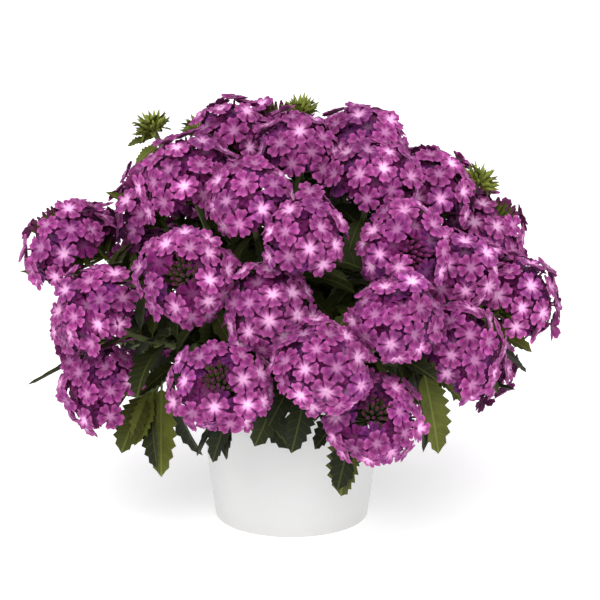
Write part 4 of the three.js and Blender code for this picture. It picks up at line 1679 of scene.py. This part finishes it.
@dataclass(frozen=True)
class CalyxFinish:
    """Hairy green calyces that turn purple towards the petals, and green buds with purple tips."""

    green: Colour = srgb(84, 96, 26)
    purple: Colour = srgb(84, 26, 60)
    tip: Colour = srgb(120, 34, 96)
    grown_places: tuple[float, ...] = (0.0, 0.45, 0.7, 1.0)
    young_places: tuple[float, ...] = (0.0, 1.05, 1.25)
    young_step: Pair = (1.0, 1.1)
    hairs: float = 6.0
    hair_reach: float = 0.25
    uneven: Pair = (300.0, 0.6)
    bumps: Pair = (0.5, 0.0003)

    def material(self) -> Material:
        """Make the material: colours by how far up its tube a point lies, moved a little by hairs.

        A tone over 1 is a green bud.

        Returns:
            The material.
        """
        material, w, shader = new_material("calyx")
        across, along = w.surface()
        tone = w.attribute("tone")
        line = w.fibres(across, along, tone, self.hairs)
        high = w.line(line, self.hair_reach, along)
        colours = (self.green, self.green, self.purple, self.tip)
        grown = w.ramp(high, *zip(self.grown_places, colours))
        young = w.ramp(high, *zip(self.young_places, colours))
        colour = w.mix(w.step(tone, *self.young_step), grown, young)
        patch, _ = w.mottle(w.place(), *self.uneven)
        w.fill(shader, {
            "Base Color": w.shaded(colour, patch),
            "Roughness": 0.65,
            "Specular IOR Level": 0.2,
            "Sheen Weight": 0.05,
            "Normal": w.bump(line, *self.bumps),
        })
        return material


@dataclass(frozen=True)
class LeafFinish:
    """Dull olive leaves with sunken veins, paler and greyer below.

    A leaf's tone, partly random and partly painted shade inside the mound and painted light at its
    outline, runs the blade from the dark colour to the light one, and shows its veins and paler
    underside less where it is low.

    Side veins are as many as the teeth on each edge of the toothed part, which is a share of the
    length, and they lean forward by a share.
    """

    # The blade's colours, from painted shade to painted light; a shoot's light one is also its young
    # green
    dark: Colour = srgb(27, 33, 14)
    light: Colour = srgb(104, 110, 40)
    vein: Colour = srgb(128, 138, 66)
    below: Colour = srgb(84, 98, 52)
    teeth: float = 7.0
    toothed: float = 0.79
    vein_lean: float = 0.12
    vein_start: float = 0.4
    side_step: Pair = (0.09, 0.0)
    side_depth: float = 0.55
    middle_step: Pair = (0.09, 0.03)
    tone_depth: float = 0.8
    young_depth: float = 0.4
    clear_range: Pair = (0.45, 0.2)
    rough_height: float = 0.5
    dull_range: Pair = (0.3, 0.5)
    uneven: Pair = (70.0, 1.1)
    bumps: Pair = (0.6, 0.0005)

    def material(self, name: str, young: float) -> Material:
        """Make the material, which reads the place across and along the blade.

        Side veins are waves of the place along, less the lean times the place off the midrib.

        Args:
            name: its name.
            young: 0 for a grown leaf, up to 1 for the light green of a shoot.

        Returns:
            The material.
        """
        material, w, shader = new_material(name)
        across, along = w.surface()
        tone, under = w.attribute("tone"), w.attribute("under")
        off = w.math("ABSOLUTE", w.line(across, 2.0, -1.0))
        slope = w.line(off, -self.vein_lean, along)
        veins = w.line(slope, self.teeth / self.toothed, self.vein_start)
        side = w.times(w.step(w.math("PINGPONG", veins, 0.5), *self.side_step), self.side_depth)
        vein = w.math("MAXIMUM", side, w.step(off, *self.middle_step))
        patch, rough = w.mottle(w.place(), *self.uneven)
        # How light the blade is painted, by its tone, raised for a young shoot's own light green
        lit = w.line(tone, self.tone_depth, self.young_depth * young)
        blade = w.mix(lit, self.dark, self.light)
        # Veins and the paler underside show less on a leaf of low tone, under its painted shade
        clear = w.line(tone, *self.clear_range)
        colour = w.mix(w.times(vein, clear), w.shaded(blade, patch), self.vein)
        height = w.math("SUBTRACT", w.times(rough, self.rough_height), vein)
        w.fill(shader, {
            "Base Color": w.mix(w.times(under, clear), colour, self.below),
            "Roughness": w.line(rough, *self.dull_range),
            "Specular IOR Level": 0.2,
            "Normal": w.bump(height, *self.bumps),
        })
        return material


@dataclass(frozen=True)
class StemFinish:
    """Green stems with purple-brown corners and fine lines along them."""

    green: Colour = srgb(86, 100, 46)
    corner: Colour = srgb(98, 66, 56)
    corner_step: Pair = (0.6, 0.0)
    corner_depth: float = 0.6
    lines: float = 7.0
    uneven: Pair = (90.0, 1.0)
    bumps: Pair = (0.5, 0.0004)

    def material(self) -> Material:
        """Make the material: the corners' colour by how near a point is to one.

        Returns:
            The material.
        """
        material, w, shader = new_material("stem")
        across, along = w.surface()
        line = w.fibres(across, along, w.attribute("tone"), self.lines)
        edge = w.times(w.step(across, *self.corner_step), self.corner_depth)
        patch, _ = w.mottle(w.place(), *self.uneven)
        colour = w.mix(w.math("MULTIPLY", edge, patch, clamp=True), self.green, self.corner)
        w.fill(shader, {
            "Base Color": w.shaded(colour, patch),
            "Roughness": 0.55,
            "Sheen Weight": 0.2,
            "Normal": w.bump(line, *self.bumps),
        })
        return material


@dataclass(frozen=True)
class PotFinish:
    """White moulded plastic with a soft gloss, slightly uneven, a little soil dust low down."""

    white: Colour = srgb(217, 217, 216)
    dust: Colour = srgb(198, 192, 182)
    dust_height: float = 0.012
    dust_range: Pair = (0.35, 0.15)
    grain: Pair = (900.0, 3.0)
    grain_step: Pair = (0.6, 0.72)
    dull_range: Pair = (0.16, 0.28)
    uneven: Pair = (45.0, 0.05)
    bumps: Pair = (0.12, 0.0005)

    def material(self) -> Material:
        """Make the material: dust by a grain, and by how near the ground a point is.

        Returns:
            The material.
        """
        material, w, shader = new_material("pot_plastic")
        place = w.place()
        patch, rough = w.mottle(place, *self.uneven)
        low = w.step(w.parts(place)[2], self.dust_height, 0.0)
        speckle = w.step(w.noise(place, *self.grain), *self.grain_step)
        colour = w.mix(w.times(low, w.line(speckle, *self.dust_range)), self.white, self.dust)
        w.fill(shader, {
            "Base Color": w.shaded(colour, patch),
            "Roughness": w.line(rough, *self.dull_range),
            "Coat Weight": 0.1,
            "Normal": w.bump(rough, *self.bumps),
        })
        return material


@dataclass(frozen=True)
class SoilFinish:
    """Dark crumbly peat with paler fibres."""

    peat: Colour = srgb(46, 34, 26)
    crumb: Colour = srgb(92, 68, 50)
    crumb_step: Pair = (0.45, 0.75)
    tone_depth: float = 0.6
    grain: Pair = (420.0, 5.0)
    uneven: Pair = (60.0, 1.2)
    bumps: Pair = (1.0, 0.002)

    def material(self) -> Material:
        """Make the material: crumbs by a step of a fine noise, over a coarser one.

        Returns:
            The material.
        """
        material, w, shader = new_material("peat")
        place = w.place()
        crumbs = w.noise(place, *self.grain)
        patch, _ = w.mottle(place, *self.uneven)
        colour = w.mix(w.step(crumbs, *self.crumb_step), self.peat, self.crumb)
        w.fill(shader, {
            "Base Color": w.shaded(colour, w.line(w.attribute("tone"), self.tone_depth, patch)),
            "Roughness": 0.95,
            "Normal": w.bump(crumbs, *self.bumps),
        })
        return material


@dataclass(frozen=True)
class Finishes:
    """Every material of the object, each made once."""

    petal: Material
    calyx: Material
    leaf: Material
    shoot: Material
    stem: Material
    pot: Material
    soil: Material


def make_finishes() -> Finishes:
    """Make the materials.

    Returns:
        All of them.
    """
    return Finishes(
        PetalFinish().material(),
        CalyxFinish().material(),
        LeafFinish().material("leaf", 0.0),
        LeafFinish(light=srgb(140, 150, 62)).material("shoot", 0.9),
        StemFinish().material(),
        PotFinish().material(),
        SoilFinish().material(),
    )


@dataclass
class FlowerHeads:
    """All the flower heads: a piece of florets and a piece of green parts for each."""

    growth: Growth
    finishes: Finishes
    shape: HeadShape = HeadShape()
    first_seed: int = 1000

    def build(self) -> None:
        """Make both pieces of every head."""
        for k, head in enumerate(h for h in self.growth.heads if not h.tuft):
            crown = towards(*CROWNS[k + 1]) if k + 1 in CROWNS else head.axis
            petals, greens = self.shape.build(head, crown, self.first_seed + k)
            node = f"flower_head_{k + 1:02d}"
            make_piece(f"florets_{k + 1:02d}", petals, self.finishes.petal, [node])
            make_piece(f"calyces_{k + 1:02d}", greens, self.finishes.calyx, [node])


@dataclass(frozen=True)
class ShootShape:
    """A shoot in bud: narrow young leaves in tiers round a cluster of closed buds.

    A tier has its number of leaves, the least angle from the axis and their length as a share of
    the shoot's width. Places are in millimetres along the axis from the shoot's heart.
    """

    tiers: tuple[tuple[int, float, float], ...] = ((6, 104, 0.55), (8, 78, 0.6), (7, 50, 0.62))
    tier_depth: float = 14
    vary_leaf: Pair = (0.85, 1.15)
    leaf_droop: float = 0.4
    leaf_root: float = -2.0
    leaf_teeth: int = 3
    bud_count: int = 34
    bud_spread: float = 72
    bud_root: float = -3.0
    bud_out: float = 2.6
    bud_length: float = 0.62
    vary_bud: Pair = (0.8, 1.1)
    bud: Profile = ((0, 0), (0.05, 0.6), (0.35, 1.25), (0.7, 0.95), (1, 0))
    bud_sides: int = 6

    def surface(
        self, rule: GrowthRule, blades: BladeShape, tuft: Head, random: Generator
    ) -> Shell:
        """A shoot's leaves and buds.

        Args:
            rule: the leaves' arc, fold and width.
            blades: their outline.
            tuft: the shoot's place, axis and width.
            random: seeded numbers.

        Returns:
            Its shell.
        """
        leaves = []
        root = tuft.centre + self.leaf_root * tuft.axis
        for count, lean, length in self.tiers:
            for along in fan(tuft.axis, count, lean, lean + self.tier_depth, random):
                up = unit(tuft.axis - (tuft.axis @ along) * along)
                size = tuft.width * length * random.uniform(*self.vary_leaf)
                leaves.append(Leaf(root, along, up, size, self.leaf_droop))
        out = fan(tuft.axis, self.bud_count, 0, self.bud_spread, random)
        starts = tuft.centre + self.bud_root * tuft.axis + self.bud_out * (out - tuft.axis)
        length = self.bud_length * tuft.width * random.uniform(*self.vary_bud, (len(out), 1))
        tone = random.uniform(0, 1, len(out))
        buds = tubes(starts, starts + out * length, self.bud, self.bud_sides, tone)
        return joined([blades.surface(rule, leaves, self.leaf_teeth, random), buds])


@dataclass
class LeafyStems:
    """The leafy stems: one piece of stems and one of leaves for each, and the shoots in bud."""

    growth: Growth
    finishes: Finishes
    stems: StemShape = StemShape()
    blades: BladeShape = BladeShape()
    shoots: ShootShape = ShootShape()
    teeth: int = 7
    inner_teeth: int = 3
    knot_rings: int = 7
    knot_sides: int = 8
    knot_tone: float = 0.5
    first_seed: int = 2000

    def build(self) -> None:
        """Make the pieces of every leafy stem."""
        rule, pot, finishes = self.growth.rule, self.growth.pot, self.finishes
        for k in range(len(TRUNKS)):
            random = np.random.default_rng(self.first_seed + k)
            own = [stem for stem in self.growth.stems() if stem.trunk == k]
            woody = [self.stems.surface(rule, pot, stem, random.uniform()) for stem in own]
            woody.append(self.knot(k))
            number, solids = f"{k + 1:02d}", [f"leafy_stem_{k + 1:02d}"]
            make_piece(f"stems_{number}", joined(woody), finishes.stem, solids)
            green = []
            for inner, teeth in ((False, self.teeth), (True, self.inner_teeth)):
                leaves = [leaf for stem in own for leaf in stem.leaves if leaf.inner == inner]
                if leaves:
                    green.append(self.blades.surface(rule, leaves, teeth, random))
            make_piece(f"leaves_{number}", joined(green), finishes.leaf, solids)
            for stem in own:
                if stem.head is not None and stem.head.tuft:
                    shoot = self.shoots.surface(rule, self.blades, stem.head, random)
                    make_piece(f"shoot_{number}", shoot, finishes.shoot, solids)

    def knot(self, trunk: int) -> Shell:
        """The swelling at a fork: a ball of rings, radius times the sine of the angle from its pole.

        Args:
            trunk: the number of its trunk.

        Returns:
            Its shell.
        """
        radius = self.growth.rule.node_radius
        middle, controls = self.growth.forks[trunk][None], self.growth.trunks[trunk].controls
        reach = radius * unit(controls[3] - controls[2])
        shares = np.linspace(0, 1, self.knot_rings).tolist()
        profile = tuple((s, radius * math.sin(math.pi * s)) for s in shares)
        tone = np.array([self.knot_tone])
        return tubes(middle - reach, middle + reach, profile, self.knot_sides, tone)


def fan(
    axis: Array, count: int, least: float, most: float, random: Generator
) -> Array:
    """Directions round an axis, turned by the golden angle and leaning out evenly in room.

    Args:
        axis: the axis.
        count: how many.
        least: the first one's angle from the axis in degrees.
        most: the last one's.
        random: seeded numbers.

    Returns:
        Unit vectors, shape (count, 3).
    """
    first, last = math.cos(math.radians(least)), math.cos(math.radians(most))
    cosine = first + (last - first) * (np.arange(count) + 0.5) / count
    angle = GOLDEN_ANGLE * np.arange(count) + random.uniform(0, FULL_TURN)
    return across_axis(np.sqrt(1 - cosine**2), angle, *cross_frame(axis)) + cosine[:, None] * axis


@dataclass
class Pot:
    """The pot: a turned shell with drain holes cut through its floor.

    The ledge under the collar is given in shares of the collar's step and of the edge, and the lip
    inside the rim in shares of the edge.
    """

    sizes: PotSizes
    finishes: Finishes
    columns: int = 96
    drain_sides: int = 24
    edge: float = 0.7
    ledge: tuple[Pair, ...] = ((0, -1), (0.3, -0.2), (1, 0.6), (1, 1.5))
    lip: tuple[Pair, ...] = ((1, 0), (0.2, -0.3), (0, -1))
    crease: float = 50

    def profile(self) -> Array:
        """Half of the pot's section, from the middle of its underside round to its inner floor.

        Returns:
            Distances from the axis with heights, in millimetres.
        """
        p, e = self.sizes, self.edge
        low = p.height - p.collar_height
        ledge = float(p.wall_radius(low))
        inside, middle, floor = (
            float(p.wall_radius(z)) - p.wall for z in (p.height, 0.5 * p.height, p.floor)
        )
        return np.array([
            [0, 0], [0.5 * p.base_radius, 0], [p.base_radius - p.chamfer, 0],
            *self.bend((p.base_radius - p.chamfer, p.chamfer), p.chamfer, -90, 0),
            [float(p.wall_radius(0.5 * low)), 0.5 * low],
            *([ledge + a * p.collar_step, low + b * e] for a, b in self.ledge),
            [p.rim_radius, p.height - 2 * e],
            *self.bend((p.rim_radius - e, p.height - e), e, 0, 90),
            *([inside + a * e, p.height + b * e] for a, b in self.lip),
            [middle, 0.5 * p.height], [floor, p.floor + e], [floor - e, p.floor], [0, p.floor],
        ])

    def bend(self, centre: Pair, radius: float, start: float, end: float) -> Array:
        """An arc of the section, from one angle to another in degrees."""
        angle = np.radians(np.linspace(start, end, 5))
        return np.array(centre) + radius * np.stack([np.cos(angle), np.sin(angle)], -1)

    def build(self) -> None:
        """Turn the section round the axis, cut the drain holes and make the piece."""
        shell = turned(self.profile(), self.columns)
        piece = make_piece("pot_shell", shell, self.finishes.pot, ["pot"], self.crease)
        cutter = make_piece("drain_cutter", self.drains(), self.finishes.pot)
        cut = piece.modifiers.new("drain", "BOOLEAN")
        cut.operation, cut.object, cut.solver = "DIFFERENCE", cutter, "EXACT"
        evaluated = piece.evaluated_get(bpy.context.evaluated_depsgraph_get())
        finished = bpy.data.meshes.new_from_object(evaluated)
        piece.modifiers.remove(cut)
        piece.data = finished
        bpy.data.objects.remove(cutter)

    def drains(self) -> Shell:
        """Upright bars that cut the drain holes, evenly round the floor.

        Returns:
            Their shell.
        """
        p = self.sizes
        angle = FULL_TURN * (np.arange(p.drain_count) + 0.5) / p.drain_count
        spots = across_axis(p.drain_ring, angle, np.array([1.0, 0, 0]), np.array([0, 1.0, 0]))
        reach = np.array([0, 0, 2 * p.floor])
        profile = ((0, 0), (SLIVER, p.drain_radius), (1 - SLIVER, p.drain_radius), (1, 0))
        return tubes(spots - reach, spots + reach, profile, self.drain_sides, angle)


def turned(section: Array, columns: int) -> Shell:
    """A section turned round the vertical axis.

    Args:
        section: distances from the axis with heights, the first and the last on the axis.
        columns: steps round.

    Returns:
        Its shell.
    """
    angle = -FULL_TURN * np.arange(columns) / columns
    radius, height = section[:, 0, None], section[:, 1, None]
    grid = np.stack([radius * np.cos(angle), radius * np.sin(angle), height + 0 * angle], -1)
    along = np.linspace(0, 1, len(section))[:, None]
    return ringed(grid[None], surface_map(np.abs(np.cos(angle / 2)), along), np.array([0.0]))


@dataclass
class Soil:
    """The soil: a lumpy crowned bed, and loose crumbs on it, in millimetres.

    Waves have a range of ripples in a millimetre, in radians.
    """

    sizes: PotSizes
    finishes: Finishes
    columns: int = 96
    rings: int = 26
    crease: float = 60
    lump: float = 0.22
    waves: int = 24
    ripples: Pair = (0.15, 0.9)
    smooth_edge: float = 4
    smooth_below: float = 1
    crumbs: int = 420
    crumb_size: Pair = (0.8, 2.6)
    crumb_lift: float = 0.5
    crumb_flatness: float = 0.4
    crumb: Profile = ((0, 0), (0.2, 0.7), (0.5, 1.0), (0.8, 0.75), (1, 0))
    crumb_sides: int = 6
    seed: int = 3000

    def inner_radius(self, z: float) -> float:
        """How far the soil reaches at a height, clear of the pot's wall."""
        return float(self.sizes.wall_radius(z)) - self.sizes.wall - self.sizes.soil_gap

    def top(self, radius: Array) -> Array:
        """Height of the bed at a distance from the axis: a crown that falls with its square."""
        p = self.sizes
        return p.soil_top + p.soil_crown * (1 - (radius / self.inner_radius(p.soil_top)) ** 2)

    def build(self) -> None:
        """Make the bed, lumpy by a sum of sine waves of random direction, and the crumbs."""
        p, random = self.sizes, np.random.default_rng(self.seed)
        bottom, edge = p.floor + p.soil_gap, self.inner_radius(p.soil_top)
        across = np.linspace(edge, 0, self.rings)
        bed = np.stack([across, self.top(across)], -1)
        section = np.concatenate([[[0, bottom], [self.inner_radius(bottom), bottom]], bed])
        shell = turned(section, self.columns)
        x, y, z = shell.points.T / MM
        size = (self.waves, 1)
        waves = random.uniform(*self.ripples, size) * random.choice([-1, 1], size)
        turn, phase = random.uniform(0, FULL_TURN, (2, *size))
        lumps = np.sin(waves * (x * np.cos(turn) + y * np.sin(turn)) + phase).sum(axis=0)
        inside = np.clip((edge - np.hypot(x, y)) / self.smooth_edge, 0, 1)
        inside = inside * (z > p.soil_top - self.smooth_below)
        shell.points[:, 2] += MM * self.lump * lumps * inside
        crumbs = self.loose_crumbs(edge - self.smooth_edge, random)
        bed = joined([shell, crumbs])
        make_piece("soil_bed", bed, self.finishes.soil, ["soil"], self.crease)

    def loose_crumbs(self, edge: float, random: Generator) -> Shell:
        """Small lumps lying on the bed: stretched balls of six sides, half sunk in.

        Args:
            edge: how far from the axis they lie.
            random: seeded numbers.

        Returns:
            Their shell.
        """
        count = self.crumbs
        radius = edge * np.sqrt(random.uniform(0, 1, count))
        turn = random.uniform(0, FULL_TURN, count)
        height = self.top(radius) + self.crumb_lift
        middle = np.stack([radius * np.cos(turn), radius * np.sin(turn), height], -1)
        axis = unit(random.normal(0, 1, (count, 3)) * [1, 1, self.crumb_flatness])
        reach = axis * random.uniform(*self.crumb_size, count)[:, None]
        tone = random.uniform(0, 1, count)
        return tubes(middle - reach, middle + reach, self.crumb, self.crumb_sides, tone)


@dataclass(frozen=True)
class Studio:
    """The photograph's view: a pale floor, soft light from above and in front, and the camera.

    Lengths are in metres and angles in degrees. A lamp has its name, its place, how soft it is and
    its power.
    """

    distance: float = 1.5
    elevation: float = 14
    lens: float = 150
    sensor: float = 36
    target: tuple[float, float, float] = (0.0051, 0.0, 0.1345)
    floor_half: float = 40.0
    floor: Colour = srgb(252, 252, 252)
    floor_glow: float = 0.4
    floor_roughness: float = 0.9
    sky: Colour = srgb(253, 253, 255)
    sky_strength: float = 0.63
    lamps: tuple[tuple[str, tuple[float, float, float], float, float], ...] = (
        ("key", (-0.2, -1.2, 1.3), 50, 1.88),
        ("fill", (1.2, -1.2, 0.9), 70, 0.5),
    )

    def build(self) -> None:
        """Lay the floor, hang the lights and set the camera."""
        self.lay_floor()
        scene = bpy.context.scene
        scene.world = scene.world or bpy.data.worlds.new("studio")
        scene.world.use_nodes = True
        tree = scene.world.node_tree
        glow = {"Color": self.sky, "Strength": self.sky_strength}
        Wiring(tree).fill(tree.nodes["Background"], glow)
        for name, place, softness, power in self.lamps:
            lamp = bpy.data.lights.new(name, "SUN")
            lamp.angle, lamp.energy = math.radians(softness), power
            self.aim(bpy.data.objects.new(name, lamp), np.array(place))
        camera = bpy.data.cameras.new("camera")
        camera.lens, camera.sensor_width = self.lens, self.sensor
        holder = bpy.data.objects.new("camera", camera)
        self.aim(holder, np.array(self.target) + self.distance * towards(0, self.elevation))
        scene.camera = holder
        scene.view_settings.view_transform = "Standard"

    def aim(self, holder: bpy.types.Object, place: Array) -> None:
        """Put a lamp or camera at a place, looking at the plant.

        Args:
            holder: the lamp or camera.
            place: where it goes.
        """
        look = Vector(self.target) - Vector(place)
        holder.location = place
        holder.rotation_mode = "QUATERNION"
        holder.rotation_quaternion = look.to_track_quat("-Z", "Y")
        bpy.context.scene.collection.objects.link(holder)

    def lay_floor(self) -> None:
        """A plain pale square, not part of the object."""
        half = self.floor_half
        mesh = bpy.data.meshes.new("floor")
        corners = [(-half, -half, 0), (half, -half, 0), (half, half, 0), (-half, half, 0)]
        mesh.from_pydata(corners, [], [(0, 1, 2, 3)])
        material, w, shader = new_material("floor")
        w.fill(shader, {
            "Base Color": self.floor,
            "Emission Color": self.floor,
            "Emission Strength": self.floor_glow,
            "Roughness": self.floor_roughness,
        })
        mesh.materials.append(material)
        floor = bpy.data.objects.new("floor", mesh)
        bpy.context.scene.collection.objects.link(floor)


def main() -> None:
    """Build the plant, its pot and the studio round them."""
    Studio().build()
    finishes = make_finishes()
    sizes = PotSizes()
    growth = Growth(GrowthRule(), sizes)
    Pot(sizes, finishes).build()
    Soil(sizes, finishes).build()
    LeafyStems(growth, finishes).build()
    FlowerHeads(growth, finishes).build()


if __name__ == "__main__":
    logging.basicConfig(level=logging.INFO, format="%(message)s")
    main()
